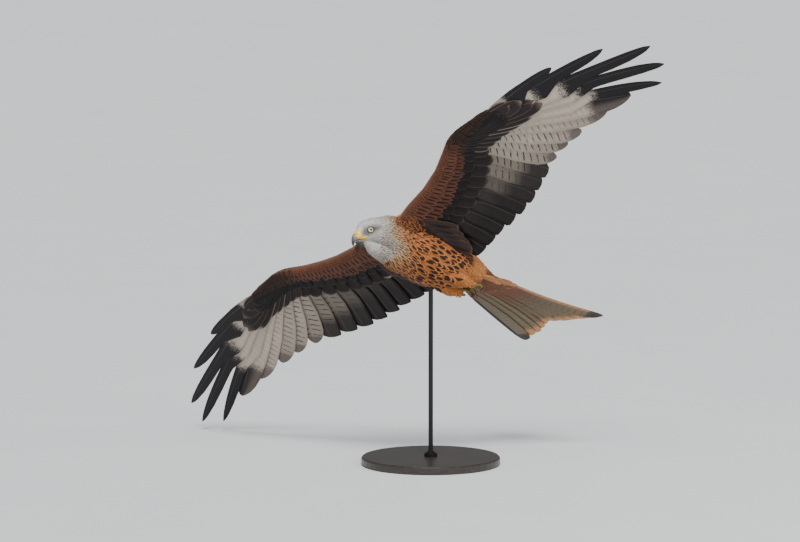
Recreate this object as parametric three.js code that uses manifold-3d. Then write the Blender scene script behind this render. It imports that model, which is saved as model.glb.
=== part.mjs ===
// A red kite in a banked glide, life size, on a plain display stand. Millimetres, +Z up.
// The bird is built in its own frame, with x ahead, y to its left and z up from a point between its shoulders.
// A group then banks it over the stand, and the origin is the middle of the stand's underside.
import * as THREE from "three";
import { mergeVertices } from "three/addons/utils/BufferGeometryUtils.js";
import Module from "manifold-3d";

const wasm = await Module();
wasm.setup();

const V = (x, y, z) => new THREE.Vector3(x, y, z);
const sided = (v, side) => V(v.x, v.y * side, v.z); // for a part on the left, 1, or on the right, -1
const mix = THREE.MathUtils.lerp;
const radians = THREE.MathUtils.degToRad;
const GAP = 0.35; // between sub-parts that touch
const WELD = 1e-4; // vertices nearer than this are one

// The stand
const TIP_CLEARANCE = 16; // the lowest wing tip's height over the floor
const BASE_RADIUS = 150;
const BASE_HEIGHT = 18;
const BASE_BEVEL = 3;
const ROD_RADIUS = 5;
const ROD_FOOT = [14, 6]; // radius and height of the rod's foot
const ROD_TOP = 18; // how far under the held point the rod ends, inside the belly
const HELD_AT = V(-92, 0, -44); // the point of the body that stands over the base's middle

// How the bird hangs in the air, seen by a viewer who looks down a little: right, up and towards the viewer
const VIEW_PITCH = radians(8);
const FORWARD_SEEN = V(-0.7902, 0.4234, 0.4431);
const UP_SEEN = V(0.0603, 0.7732, -0.6313);

// Head: the point midway between the eyes, and which way the face points
const HEAD_CENTRE = V(70, -7, -50);
const HEAD_FORWARD = V(0.721, -0.503, -0.476);
const HEAD_UP = V(0.582, 0.069, 0.809);
const EYE_RADIUS = 7.2;
const EYE_SIDE = 12.9; // from the middle of the head to an eye's centre
const LID_SIDE = 18.4; // and to the ring of its lids
const LID_RADIUS = 1.2;
const BROW = V(3, 16.2, 9.4);
const BROW_SIZE = V(14, 3.6, 3);

// Head rings from the brow back: place ahead of the eyes, middle height, half width, half height
const HEAD_RINGS = [
  [24, 3.5, 9.5, 13.5],
  [17, 5, 13.5, 19.5],
  [8, 5, 17, 23.5],
  [-2, 3, 19.5, 26.5],
  [-14, -2, 24, 31.5],
  [-28, -10, 28, 38],
];
// Torso rings from the shoulders to the tail's root: place ahead, middle height, half width, half height
const TORSO_RINGS = [
  [-20, -38, 61, 53],
  [-48, -39, 66, 57],
  [-80, -39, 67, 59],
  [-112, -37, 64, 57],
  [-145, -33, 58, 52],
  [-175, -28, 51, 44],
  [-200, -24, 44, 33],
  [-220, -22, 38, 23],
  [-240, -23, 33, 14],
  [-262, -25, 28, 5],
];
// The full throat, from the chin down into the breast: place in the bird's frame, radius
const THROAT = [
  [76, -20, -66, 3],
  [70, -19, -66, 8],
  [51, -21, -71, 18],
  [25, -20, -58, 34],
  [-10, -12, -51, 50],
  [-60, -5, -42, 50],
];
const THROAT_SIDES = 16;
const NECK_RINGS = 3;
const BODY_SIDES = 22;
const HEAD_CUT = 0.12; // where the head ends, as a share of the way along the neck
const NECK_CUT = 0.9; // where the neck ends
const TAIL_CUT = -222; // where the torso ends and the tail begins

// Upper bill from the brow to the hook: culmen point, lower edge point, half width
const UPPER_BILL = [
  [15, 18.5, 9, -9.4, 12],
  [21.5, 16, 14, -9.4, 10.3],
  [28, 12.6, 21, -9.2, 8.8],
  [34.3, 7.4, 28, -8.9, 7.6],
  [39.5, 3, 33, -9.2, 6.4],
  [43, -3, 36.5, -10.2, 5],
  [45.2, -10, 39.7, -12.4, 3.3],
  [45.7, -15.5, 42.3, -16.2, 1.7],
  [44.8, -19.8, 44.2, -19.9, 0.5],
];
const CERE_RINGS = 4; // the first rings, which are the cere
const LOWER_BILL = [
  [11, -10, 9, -15.2, 9.5],
  [20, -9.8, 19, -14.6, 7.4],
  [28, -9.6, 28, -13.6, 5.8],
  [34, -10, 33.5, -13, 4.2],
  [38, -11.2, 37.6, -12.4, 2.2],
];
const NOSTRIL = V(29.5, 7.6, 3);
const NOSTRIL_SIZE = V(2.4, 1.4, 1.5);

// Wing stations from the body out: distance along the span, then how far ahead and how high the leading edge
// lies, and the same of the line of feather tips
const WING_STATIONS = [
  [40, 34, -31, -158, -31],
  [100, 43, -23, -166, -31],
  [170, 52, -13, -152, -28],
  [235, 73, -4, -150, -22],
  [300, 100, 4, -140, -19],
  [385, 90, 15, -111, -15],
  [475, 76, 22, -90, -14],
  [610, 56, 31, -89, -11],
  [700, 30, 33, -93, -10],
  [812, -30, 33, -95, -10],
];
const WING_CAMBER = 0.05; // rise of the arm's middle over its chord line, as a share of the chord
const CAMBER_ENDS = [280, 430]; // along the span, where the camber begins to fade and where it is gone
// The arm and hand under the feathers: distance along the span, chord, thickness
const ARM_STATIONS = [
  [44, 118, 34],
  [90, 112, 28],
  [150, 104, 25],
  [210, 96, 22],
  [262, 86, 20],
  [300, 74, 19],
  [340, 60, 17],
  [380, 44, 15],
  [404, 32, 12],
  [420, 14, 5],
];
const ARM_SIDES = 10;

// Flight feathers of one wing
// Primaries, from the wrist out: how far ahead, how far along the span and how high each tip lies
const PRIMARY_TIPS = [
  [-101, 423, -13],
  [-90, 476, -14],
  [-87, 526, -14],
  [-89, 609, -8],
  [-93, 684, -9],
  [-108, 770, -22],
  [-80, 812, -13],
  [-44, 808, 18],
  [15, 721, 32],
  [58, 601, 33],
];
const PRIMARY_ROOTS = [296, 378]; // along the span, of the first and the last
const SECONDARIES = 8;
const SECONDARY_ROOTS = [282, 74];
const SECONDARY_TIPS = [383, 96];
const FINGERS = 5; // outer primaries that narrow to a finger
const QUILL_THICKNESS = 0.8;
// How far the leading edge of a vane stands up, for each millimetre of width
const SECONDARY_TILT = 0.06;
const PRIMARY_TILT = 0.1;
const COVERT_TILT = 0.08;
const TAIL_TILT = 0.07;
// Coverts of one wing, a tier above and one below the quills: how many, how far their roots lie ahead of the
// quills' roots, how far the innermost and outermost reach past them, their widths, height off the quills
const COVERT_TIERS = [
  { count: 12, start: 14, reach: [66, 108], width: [40, 26], lift: 5.4 },
  { count: 9, start: 20, reach: [38, 64], width: [44, 30], lift: 9 },
];
const HAND_LIFT = 0.72; // the coverts lie this much closer on the thin outer hand
// Small feathers of the thumb, one over the other
const ALULA = { count: 3, root: [84, 312], tip: [80, 404], step: [-5, -12], lift: 7.5, layer: 1.4 };

// Tail
const TAIL_ROOT = V(-235, -5, -27);
const TAIL_YAW = radians(8.9);
const TAIL_PITCH = radians(8.8);
const TAIL_ROLL = radians(-11.5);
const TAIL_FEATHERS = 12;
const TAIL_SPREAD = radians(24.6); // each way from the middle
const TAIL_ROOT_WIDTH = 33; // half of it
const TAIL_LENGTH = [240, 290]; // middle and outer feathers
const TAIL_MIDDLE_LIFTS = [1.5, 2.8]; // the middle pair lies over the others, one over the other
const TAIL_COVERTS = { count: 5, reach: [52, 34], width: 26, lift: 5, layer: 1.3 };

// Left leg, folded back under the belly
const THIGH = V(-146, 21, -70);
const THIGH_SIZE = V(40, 17, 18);
const ANKLE = V(-160, 17, -78);
const PALM = V(-205, 11, -56);
const SHANK_RADIUS = 4.3;
const TOE_RADIUS = 3.1;
const TOE_TURNS = [-20, 2, 24]; // degrees of the front toes across the foot
const DIGIT_SIDES = 6;
const TOE_LENGTH = 13;
const TOE_CURL = 7;
const CLAW_LENGTH = 10;
// Share of a claw's length, radius as a share of the toe's
const CLAW_PROFILE = [
  [0, 0.7],
  [0.35, 0.55],
  [0.7, 0.33],
  [1, 0.05],
];

// Frames
class Frame {
  constructor(origin, forward, up) {
    this.origin = origin.clone();
    this.forward = forward.clone().normalize();
    this.left = up.clone().cross(this.forward).normalize();
    this.up = this.forward.clone().cross(this.left);
  }
  at(x, y, z) {
    return this.origin
      .clone()
      .addScaledVector(this.forward, x)
      .addScaledVector(this.left, y)
      .addScaledVector(this.up, z);
  }
}
const BIRD = new Frame(V(0, 0, 0), V(1, 0, 0), V(0, 0, 1));
const HEAD = new Frame(HEAD_CENTRE, HEAD_FORWARD, HEAD_UP);

// Solids
function toSolid(geometry) {
  const bare = geometry.index ? geometry.toNonIndexed() : geometry.clone();
  for (const name of Object.keys(bare.attributes)) {
    if (name !== "position") bare.deleteAttribute(name);
  }
  const merged = mergeVertices(bare, WELD);
  return new wasm.Manifold(
    new wasm.Mesh({
      numProp: 3,
      vertProperties: new Float32Array(merged.attributes.position.array),
      triVerts: new Uint32Array(merged.index.array),
    }),
  );
}

function toGeometry(solid) {
  const mesh = solid.getMesh();
  const points = new Float32Array(mesh.numVert * 3);
  for (let i = 0; i < mesh.numVert; i++) {
    points.set(mesh.vertProperties.subarray(i * mesh.numProp, i * mesh.numProp + 3), i * 3);
  }
  return new THREE.BufferGeometry()
    .setAttribute("position", new THREE.BufferAttribute(points, 3))
    .setIndex(new THREE.BufferAttribute(new Uint32Array(mesh.triVerts), 1));
}

const join = (solids) => wasm.Manifold.union(solids);
const largest = (solid) => solid.decompose().reduce((best, s) => (s.volume() > best.volume() ? s : best));

function signedVolume(points, index) {
  const p = (i) => V(points[3 * i], points[3 * i + 1], points[3 * i + 2]);
  let sum = 0;
  for (let i = 0; i < index.length; i += 3) {
    sum += p(index[i]).dot(p(index[i + 1]).cross(p(index[i + 2])));
  }
  return sum;
}

// A closed surface through rings of points that all have one count. The two halves of each ring are split into
// triangles alike, so that the faces of a thin form don't cross.
function loft(rings) {
  const size = rings[0].length;
  const points = rings.flat().flatMap((p) => [p.x, p.y, p.z]);
  const index = [];
  for (let i = 0; i + 1 < rings.length; i++) {
    for (let j = 0; j < size; j++) {
      const a = i * size + j;
      const b = i * size + ((j + 1) % size);
      const c = a + size;
      const d = b + size;
      if (j < size / 2) index.push(a, b, d, a, d, c);
      else index.push(a, b, c, b, d, c);
    }
  }
  const last = (rings.length - 1) * size;
  for (let j = 1; j + 1 < size; j++) {
    index.push(0, j + 1, j);
    index.push(last, last + j, last + j + 1);
  }
  if (signedVolume(points, index) < 0) index.reverse();
  return new THREE.BufferGeometry()
    .setAttribute("position", new THREE.Float32BufferAttribute(points, 3))
    .setIndex(index);
}

function ellipseRing(frame, x, z, halfWidth, halfHeight, sides) {
  return Array.from({ length: sides }, (_, i) => {
    const turn = (2 * Math.PI * (i + 0.5)) / sides;
    return frame.at(x, halfWidth * Math.cos(turn), z + halfHeight * Math.sin(turn));
  });
}

// A tube that tapers along points, each with its radius. Its rings turn about one direction, so it doesn't twist.
// Its first end may face a direction of its own.
function taperedTube(points, radii, sides, end) {
  const chord = points.at(-1).clone().sub(points[0]);
  const bend = points[1].clone().sub(points[0]).cross(chord);
  const up = bend.length() > WELD ? bend : V(-chord.y, chord.x, 0);
  const rings = points.map((point, i) => {
    const before = points[Math.max(i - 1, 0)];
    const after = points[Math.min(i + 1, points.length - 1)];
    const along = i === 0 && end ? end.clone() : before.clone().sub(after);
    return ellipseRing(new Frame(point, along, up), 0, 0, radii[i], radii[i], sides);
  });
  return toSolid(loft(rings));
}

function ball(frame, centre, radii, across = 16, down = 12) {
  const geometry = new THREE.SphereGeometry(1, across, down);
  const place = new THREE.Matrix4()
    .makeBasis(frame.forward, frame.left, frame.up)
    .scale(radii)
    .setPosition(frame.at(centre.x, centre.y, centre.z));
  return toSolid(geometry.applyMatrix4(place));
}

function rodBetween(from, to, radiusFrom, radiusTo = radiusFrom, sides = 16) {
  const along = to.clone().sub(from);
  const geometry = new THREE.CylinderGeometry(radiusTo, radiusFrom, along.length(), sides);
  const turn = new THREE.Quaternion().setFromUnitVectors(V(0, 1, 0), along.clone().normalize());
  const place = new THREE.Matrix4().makeRotationFromQuaternion(turn);
  place.setPosition(from.clone().add(to).multiplyScalar(0.5));
  return toSolid(geometry.applyMatrix4(place));
}

// A value between the rows of a table, by its first column
function between(rows, at, column) {
  const last = rows.length - 1;
  let i = rows.findIndex((row, n) => n < last && at <= rows[n + 1][0]);
  if (i < 0) i = last - 1;
  const slope = (n) => {
    const a = rows[Math.max(n - 1, 0)];
    const b = rows[Math.min(n + 1, last)];
    return (b[column] - a[column]) / (b[0] - a[0]);
  };
  const step = rows[i + 1][0] - rows[i][0];
  const t = THREE.MathUtils.clamp((at - rows[i][0]) / step, 0, 1);
  const rise = rows[i + 1][column] - rows[i][column];
  return (
    rows[i][column] +
    rise * t * t * (3 - 2 * t) +
    step * (slope(i) * t * (1 - t) ** 2 - slope(i + 1) * t * t * (1 - t))
  );
}

// Head, neck, torso and the tail's root are one smooth form, parted by thin cuts
const neckFrame = (() => {
  const [headX, headZ] = HEAD_RINGS.at(-1);
  const [torsoX, torsoZ] = TORSO_RINGS[0];
  const start = HEAD.at(headX, 0, headZ);
  const end = BIRD.at(torsoX, 0, torsoZ);
  const pull = start.distanceTo(end) / 3;
  const path = new THREE.CubicBezierCurve3(
    start,
    start.clone().addScaledVector(HEAD.forward, -pull),
    end.clone().addScaledVector(BIRD.forward, pull),
    end,
  );
  return (t) => {
    const up = HEAD.up.clone().lerp(BIRD.up, t);
    return new Frame(path.getPoint(t), path.getTangent(t).negate(), up);
  };
})();

function bodyForm(grow = 0) {
  const ring = (frame, x, z, w, h) => ellipseRing(frame, x, z, w + grow, h + grow, BODY_SIDES);
  const rings = HEAD_RINGS.map((row) => ring(HEAD, ...row));
  const [, , headW, headH] = HEAD_RINGS.at(-1);
  const [, , torsoW, torsoH] = TORSO_RINGS[0];
  for (let i = 1; i <= NECK_RINGS; i++) {
    const t = i / (NECK_RINGS + 1);
    rings.push(ring(neckFrame(t), 0, 0, mix(headW, torsoW, t), mix(headH, torsoH, t)));
  }
  rings.push(...TORSO_RINGS.map((row) => ring(BIRD, ...row)));
  const throat = taperedTube(
    THROAT.map(([x, y, z]) => V(x, y, z)),
    THROAT.map(([, , , radius]) => radius + grow),
    THROAT_SIDES,
  );
  return join([toSolid(loft(rings)), throat]);
}
const body = bodyForm();
const bodyRoom = bodyForm(GAP);

// What lies ahead of, or behind, a frame's cross plane, less half a gap
const ahead = (solid, frame) =>
  solid.trimByPlane(frame.forward.toArray(), frame.origin.dot(frame.forward) + GAP / 2);
const behind = (solid, frame) => {
  const back = frame.forward.clone().negate();
  return solid.trimByPlane(back.toArray(), frame.origin.dot(back) + GAP / 2);
};
const headEnd = neckFrame(HEAD_CUT);
const neckEnd = neckFrame(NECK_CUT);
const torsoEnd = new Frame(V(TAIL_CUT, 0, 0), BIRD.forward, BIRD.up);

// Bill, cere and eyes
function billForm(stations) {
  const sides = 12;
  const rings = stations.map(([topX, topZ, lowX, lowZ, halfWidth]) =>
    Array.from({ length: sides }, (_, i) => {
      const turn = (2 * Math.PI * (i + 0.5)) / sides;
      const rise = 0.5 + 0.5 * Math.sin(turn);
      return HEAD.at(mix(lowX, topX, rise), halfWidth * Math.cos(turn), mix(lowZ, topZ, rise));
    }),
  );
  return toSolid(loft(rings));
}

function cereSolid() {
  const form = billForm(UPPER_BILL.slice(0, CERE_RINGS)).subtract(bodyRoom);
  const nostrils = [1, -1].map((side) =>
    ball(HEAD, sided(NOSTRIL, side), NOSTRIL_SIZE, 10, 8),
  );
  return largest(form.subtract(join(nostrils)));
}

function upperBillSolid() {
  const form = billForm(UPPER_BILL.slice(CERE_RINGS - 1));
  const [topX, topZ, lowX, lowZ] = UPPER_BILL[CERE_RINGS - 1];
  const slope = V(topZ - lowZ, 0, lowX - topX).normalize();
  const forward = HEAD.at(slope.x, 0, slope.z).sub(HEAD.origin);
  const face = HEAD.at(lowX, 0, lowZ);
  return largest(form.trimByPlane(forward.toArray(), face.dot(forward) + GAP));
}

function eyeSolid(side) {
  const whole = ball(HEAD, V(0, side * EYE_SIDE, 0), V(EYE_RADIUS, EYE_RADIUS, EYE_RADIUS), 16, 10);
  const out = HEAD.left.clone().multiplyScalar(side);
  return whole.trimByPlane(out.toArray(), HEAD.at(0, side * EYE_SIDE, 0).dot(out));
}

function headSolid() {
  let head = ahead(body, headEnd);
  for (const side of [1, -1]) {
    const room = EYE_RADIUS + GAP;
    const socket = rodBetween(HEAD.at(0, side * (EYE_SIDE - GAP), 0), HEAD.at(0, side * 40, 0), room);
    const ring = new THREE.TorusGeometry(EYE_RADIUS + LID_RADIUS * 0.6, LID_RADIUS, 6, 16);
    const place = new THREE.Matrix4()
      .makeBasis(HEAD.forward, HEAD.up, HEAD.left.clone().negate())
      .setPosition(HEAD.at(0, side * LID_SIDE, 0));
    const brow = ball(HEAD, sided(BROW, side), BROW_SIZE, 10, 6);
    head = join([head, brow]).subtract(socket);
    head = join([head, toSolid(ring.applyMatrix4(place))]);
  }
  return largest(head);
}

// Vanes. A place function takes how far ahead, how far out and how much higher than the sheet of feathers.
// A vane runs from its root to its tip, with a profile of rows: share of the length, width ahead of the shaft
// and width behind it.
function vane(place, { root, tip, profile, lift = 0, tilt = 0, rise = 0, bow = 0, ahead: sign = 1 }) {
  const along = new THREE.Vector2(tip[0] - root[0], tip[1] - root[1]);
  const across = new THREE.Vector2(along.y, -along.x).normalize().multiplyScalar(sign);
  const point = (t, side, face) => {
    const off = side + bow * 4 * t * (1 - t);
    const x = mix(root[0], tip[0], t) + across.x * off;
    const y = mix(root[1], tip[1], t) + across.y * off;
    const free = Math.max(0, (t - 0.5) / 0.5);
    const height = lift + tilt * side + rise * free * free + (face * QUILL_THICKNESS) / 2;
    return place(x, y, height);
  };
  return toSolid(
    loft(
      profile.map(([t, front, back]) => [
        point(t, front, 1),
        point(t, -back, 1),
        point(t, -back, -1),
        point(t, front, -1),
      ]),
    ),
  );
}

// Half widths that close in a round tip
function vaneProfile(front, back, { start = 0.55, fingerFront = front, fingerBack = back } = {}) {
  return [
    [0, front * 0.25, back * 0.1],
    [start * 0.5, front * 0.9, back * 0.7],
    [start, front, back],
    [Math.min(start + 0.14, 0.8), fingerFront, fingerBack],
    [0.92, fingerFront * 0.85, fingerBack * 0.88],
    [1, fingerFront * 0.25, fingerBack * 0.25],
  ];
}
const covertProfile = (front, back) => [
  [0, front * 0.25, back * 0.25],
  [0.5, front, back],
  [0.85, front * 0.85, back * 0.85],
  [1, front * 0.35, back * 0.35],
];

// Wing: the sheet of feathers lies on this surface
function wingHeight(x, y) {
  const frontX = between(WING_STATIONS, y, 1);
  const frontZ = between(WING_STATIONS, y, 2);
  const rearX = between(WING_STATIONS, y, 3);
  const rearZ = between(WING_STATIONS, y, 4);
  const t = THREE.MathUtils.clamp((x - rearX) / (frontX - rearX), -0.2, 1.1);
  const fade = 1 - THREE.MathUtils.smoothstep(y, ...CAMBER_ENDS);
  const camber = WING_CAMBER * fade * (frontX - rearX) * 4 * Math.max(0, t * (1 - t));
  return mix(rearZ, frontZ, t) + camber;
}
const onWing = (x, y, lift) => V(x, y, wingHeight(x, y) + lift);

function armForm() {
  const rings = ARM_STATIONS.map(([y, chord, thickness]) => {
    const frontX = between(WING_STATIONS, y, 1);
    return Array.from({ length: ARM_SIDES }, (_, i) => {
      const turn = (2 * Math.PI * (i + 0.5)) / ARM_SIDES;
      const t = 0.5 - 0.5 * Math.cos(turn); // share of the chord from the leading edge
      const half = (thickness / 2) * (2.6 * Math.sqrt(t) * (1 - t) + 0.06);
      const x = frontX - chord * t;
      return onWing(x, y, Math.sign(Math.sin(turn)) * half);
    });
  });
  return toSolid(loft(rings));
}

const armChord = (y) => between(ARM_STATIONS, y, 1);
// A shaft's root and tip, for a place between the innermost secondary, 0, and the outermost primary, 1
const quills = (() => {
  const list = [];
  for (let i = SECONDARIES - 1; i >= 0; i--) {
    const t = i / (SECONDARIES - 1);
    const y = mix(...SECONDARY_ROOTS, t);
    const tipY = mix(...SECONDARY_TIPS, t);
    list.push({
      root: [between(WING_STATIONS, y, 1) - 0.6 * armChord(y), y],
      tip: [between(WING_STATIONS, tipY, 3), tipY],
    });
  }
  PRIMARY_TIPS.forEach(([x, y, z], i) => {
    const t = i / (PRIMARY_TIPS.length - 1);
    const rootY = mix(...PRIMARY_ROOTS, t);
    list.push({
      root: [between(WING_STATIONS, rootY, 1) - mix(0.5, 0.3, t) * armChord(rootY), rootY],
      tip: [x, y],
      height: z,
    });
  });
  return list;
})();

function flightFeathers() {
  return quills.map(({ root, tip, height }, i) => {
    const primary = i - SECONDARIES;
    const fromTip = PRIMARY_TIPS.length - 1 - primary;
    const rise = height === undefined ? 0 : height - wingHeight(...tip);
    if (primary < 0) {
      return vane(onWing, { root, tip, profile: vaneProfile(20, 32), tilt: SECONDARY_TILT, bow: 5 });
    }
    const finger = { start: 0.5, fingerFront: 8, fingerBack: 15 };
    const profile = fromTip < FINGERS ? vaneProfile(9, 32, finger) : vaneProfile(15, 33);
    return vane(onWing, { root, tip, rise, profile, tilt: PRIMARY_TILT, bow: 6 });
  });
}

function quillAt(share) {
  const at = share * (quills.length - 1);
  const i = Math.min(Math.floor(at), quills.length - 2);
  const t = at - i;
  const pick = (end) => [0, 1].map((k) => mix(quills[i][end][k], quills[i + 1][end][k], t));
  return { root: pick("root"), tip: pick("tip") };
}

function covertTier({ count, start, reach, width, lift }, face) {
  return Array.from({ length: count }, (_, i) => {
    const share = (i + 0.5) / count;
    const { root, tip } = quillAt(share);
    const length = Math.hypot(tip[0] - root[0], tip[1] - root[1]);
    const at = (mm) => [0, 1].map((k) => mix(root[k], tip[k], mm / length));
    return vane(onWing, {
      root: at(-start),
      tip: at(mix(reach[0], reach[1], share)),
      profile: covertProfile(mix(...width, share) * 0.45, mix(...width, share) * 0.55),
      lift: face * lift * mix(1, HAND_LIFT, share),
      tilt: COVERT_TILT,
    });
  });
}

function alula({ count, root, tip, step, lift, layer }) {
  return Array.from({ length: count }, (_, i) =>
    vane(onWing, {
      root: [root[0] - 3 * i, root[1] - 3 * i],
      tip: [tip[0] + step[0] * i, tip[1] + step[1] * i],
      profile: covertProfile(7, 12),
      lift: lift + layer * i,
      tilt: COVERT_TILT,
    }),
  );
}

function wingSolid() {
  const coverts = COVERT_TIERS.flatMap((tier) => [...covertTier(tier, 1), ...covertTier(tier, -1)]);
  return join([armForm(), ...flightFeathers(), ...coverts, ...alula(ALULA)]);
}

// Tail
const tailFrame = (() => {
  const turn = new THREE.Quaternion().setFromEuler(new THREE.Euler(TAIL_ROLL, TAIL_PITCH, TAIL_YAW, "ZYX"));
  return new Frame(TAIL_ROOT, V(1, 0, 0).applyQuaternion(turn), V(0, 0, 1).applyQuaternion(turn));
})();
const onTail = (x, y, lift) => tailFrame.at(x, y, lift);

function tailFeathers() {
  return Array.from({ length: TAIL_FEATHERS }, (_, i) => {
    const share = (2 * i) / (TAIL_FEATHERS - 1) - 1; // from the right, -1, to the left, 1
    const side = Math.sign(share);
    const turn = share * TAIL_SPREAD;
    const length = mix(TAIL_LENGTH[0], TAIL_LENGTH[1], Math.abs(share) ** 1.7);
    const middle = Math.abs(share) < 0.1;
    const rootY = share * TAIL_ROOT_WIDTH;
    return vane(onTail, {
      root: [6, rootY],
      tip: [-length * Math.cos(turn), length * Math.sin(turn)],
      profile: vaneProfile(mix(17, 11, Math.abs(share)), 27),
      lift: middle ? TAIL_MIDDLE_LIFTS[side > 0 ? 1 : 0] : 0,
      tilt: middle ? 0 : TAIL_TILT,
      ahead: -side,
      bow: 4,
    });
  });
}

function tailCoverts({ count, reach, width, lift, layer }, face) {
  return Array.from({ length: count }, (_, i) => {
    const share = (2 * i) / (count - 1) - 1;
    const turn = share * TAIL_SPREAD;
    const length = mix(reach[0], reach[1], Math.abs(share));
    return vane(onTail, {
      root: [4, share * 11],
      tip: [-length * Math.cos(turn), length * Math.sin(turn) + share * 8],
      profile: covertProfile(width / 2, width / 2),
      lift: face * (lift + layer * (i % 2)),
      tilt: 0,
    });
  });
}

// Legs. Each toe bends once and ends in a claw.
function toes(side) {
  const palm = sided(PALM, side);
  const front = TOE_TURNS.map((degrees) => {
    const turn = radians(degrees) * side;
    const along = V(-Math.cos(turn), Math.sin(turn), 0.12).normalize();
    const knuckle = palm.clone().addScaledVector(along, TOE_LENGTH);
    const end = knuckle.clone().addScaledVector(V(along.x * 0.45, along.y * 0.45, -0.9), TOE_CURL);
    return { knuckle, end, point: V(0.9, 0, -0.4) };
  });
  const knuckle = palm.clone().add(V(4, -5 * side, -8));
  const back = { knuckle, end: knuckle.clone().add(V(-7, -2 * side, -7)), point: V(-0.8, 0, -0.6) };
  return [...front, back].map((toe) => ({ palm, ...toe }));
}

function footSolid(side) {
  const ankle = sided(ANKLE, side);
  const palm = sided(PALM, side);
  const shank = taperedTube(
    [ankle, palm.clone().lerp(ankle, 0.3), palm, palm.clone().lerp(ankle, -0.12)],
    [SHANK_RADIUS, SHANK_RADIUS * 0.9, SHANK_RADIUS * 1.2, SHANK_RADIUS * 0.5],
    8,
  );
  const digits = toes(side).map(({ knuckle, end }) =>
    taperedTube([palm, knuckle, end], [TOE_RADIUS, TOE_RADIUS, TOE_RADIUS * 0.85], DIGIT_SIDES),
  );
  return join([shank, ...digits]);
}

function clawSolid({ knuckle, end, point }) {
  const along = end.clone().sub(knuckle).normalize();
  const start = end.clone().addScaledVector(along, GAP);
  const bend = start.clone().addScaledVector(along, CLAW_LENGTH * 0.35);
  const tip = bend.clone().addScaledVector(point, CLAW_LENGTH * 0.65);
  const path = new THREE.QuadraticBezierCurve3(start, bend, tip);
  return taperedTube(
    CLAW_PROFILE.map(([t]) => path.getPoint(t)),
    CLAW_PROFILE.map(([, share]) => share * TOE_RADIUS),
    DIGIT_SIDES,
    along.clone().negate(),
  );
}

const materials = {
  head: ["#b9b4aa", 0.85],
  body: ["#a5622f", 0.85],
  wing: ["#3b2a22", 0.8],
  tail: ["#8a6647", 0.8],
  cere: ["#d9b41f", 0.5],
  horn: ["#4a453f", 0.4],
  eye: ["#d8d2a8", 0.1],
  foot: ["#c9a227", 0.55],
  stand: ["#2c2c2e", 0.5],
};

function namedMesh(name, geometry, kind) {
  const [color, roughness] = materials[kind];
  const mesh = new THREE.Mesh(geometry, new THREE.MeshStandardMaterial({ color, roughness, metalness: 0 }));
  mesh.name = name;
  return mesh;
}

// How the bird hangs over the stand
const seen = (v) =>
  V(
    v.x,
    v.y * Math.sin(VIEW_PITCH) - v.z * Math.cos(VIEW_PITCH),
    v.y * Math.cos(VIEW_PITCH) + v.z * Math.sin(VIEW_PITCH),
  );
const hung = new Frame(V(0, 0, 0), seen(FORWARD_SEEN), seen(UP_SEEN));
const bird = new THREE.Group();
bird.quaternion.setFromRotationMatrix(new THREE.Matrix4().makeBasis(hung.forward, hung.left, hung.up));
const down = V(0, 0, -1).applyQuaternion(bird.quaternion.clone().invert());
const addToBird = (name, solid, kind) => bird.add(namedMesh(name, toGeometry(solid), kind));

const cere = cereSolid();
const upperBill = upperBillSolid();
const lowerBill = largest(billForm(LOWER_BILL).subtract(bodyRoom));
const rodEnd = HELD_AT.clone().addScaledVector(down, ROD_TOP - GAP);
const rodRoom = rodBetween(rodEnd, HELD_AT.clone().addScaledVector(down, 200), ROD_RADIUS + GAP);

addToBird("head", headSolid(), "head");
addToBird("cere", cere, "cere");
addToBird("upper_bill", upperBill, "horn");
addToBird("lower_bill", lowerBill, "horn");
addToBird("neck", largest(ahead(behind(body, headEnd), neckEnd)), "body");
addToBird("torso", largest(ahead(behind(body, neckEnd), torsoEnd).subtract(rodRoom)), "body");
const tailRoot = behind(body, torsoEnd);
const tailVanes = [
  ...tailFeathers(),
  ...tailCoverts(TAIL_COVERTS, 1),
  ...tailCoverts(TAIL_COVERTS, -1),
].map((piece) => behind(piece, torsoEnd));
addToBird("tail", largest(join([tailRoot, ...tailVanes])), "tail");
const leftWing = wingSolid();
for (const [name, side] of [["left", 1], ["right", -1]]) {
  const wing = side > 0 ? leftWing : leftWing.mirror([0, 1, 0]);
  const thighBall = (grow) =>
    ball(BIRD, sided(THIGH, side), THIGH_SIZE.clone().addScalar(grow), 16, 10);
  const foot = footSolid(side).subtract(thighBall(GAP)).subtract(bodyRoom);
  addToBird(`${name}_eye`, eyeSolid(side), "eye");
  addToBird(`${name}_wing`, largest(wing.subtract(bodyRoom)), "wing");
  addToBird(`${name}_thigh`, largest(thighBall(0).subtract(bodyRoom).subtract(rodRoom)), "body");
  addToBird(`${name}_foot`, largest(foot), "foot");
  toes(side).forEach((toe, i) => addToBird(`${name}_claw_${i + 1}`, clawSolid(toe), "horn"));
}

// The wing tips clear the floor, and the held point stands over the middle of the base
bird.updateMatrixWorld(true);
const lowest = new THREE.Box3().setFromObject(bird, true).min.z;
const heldAt = HELD_AT.clone().applyQuaternion(bird.quaternion);
bird.position.set(-heldAt.x, -heldAt.y, TIP_CLEARANCE - lowest);
const heldHeight = heldAt.z + bird.position.z;

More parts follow.
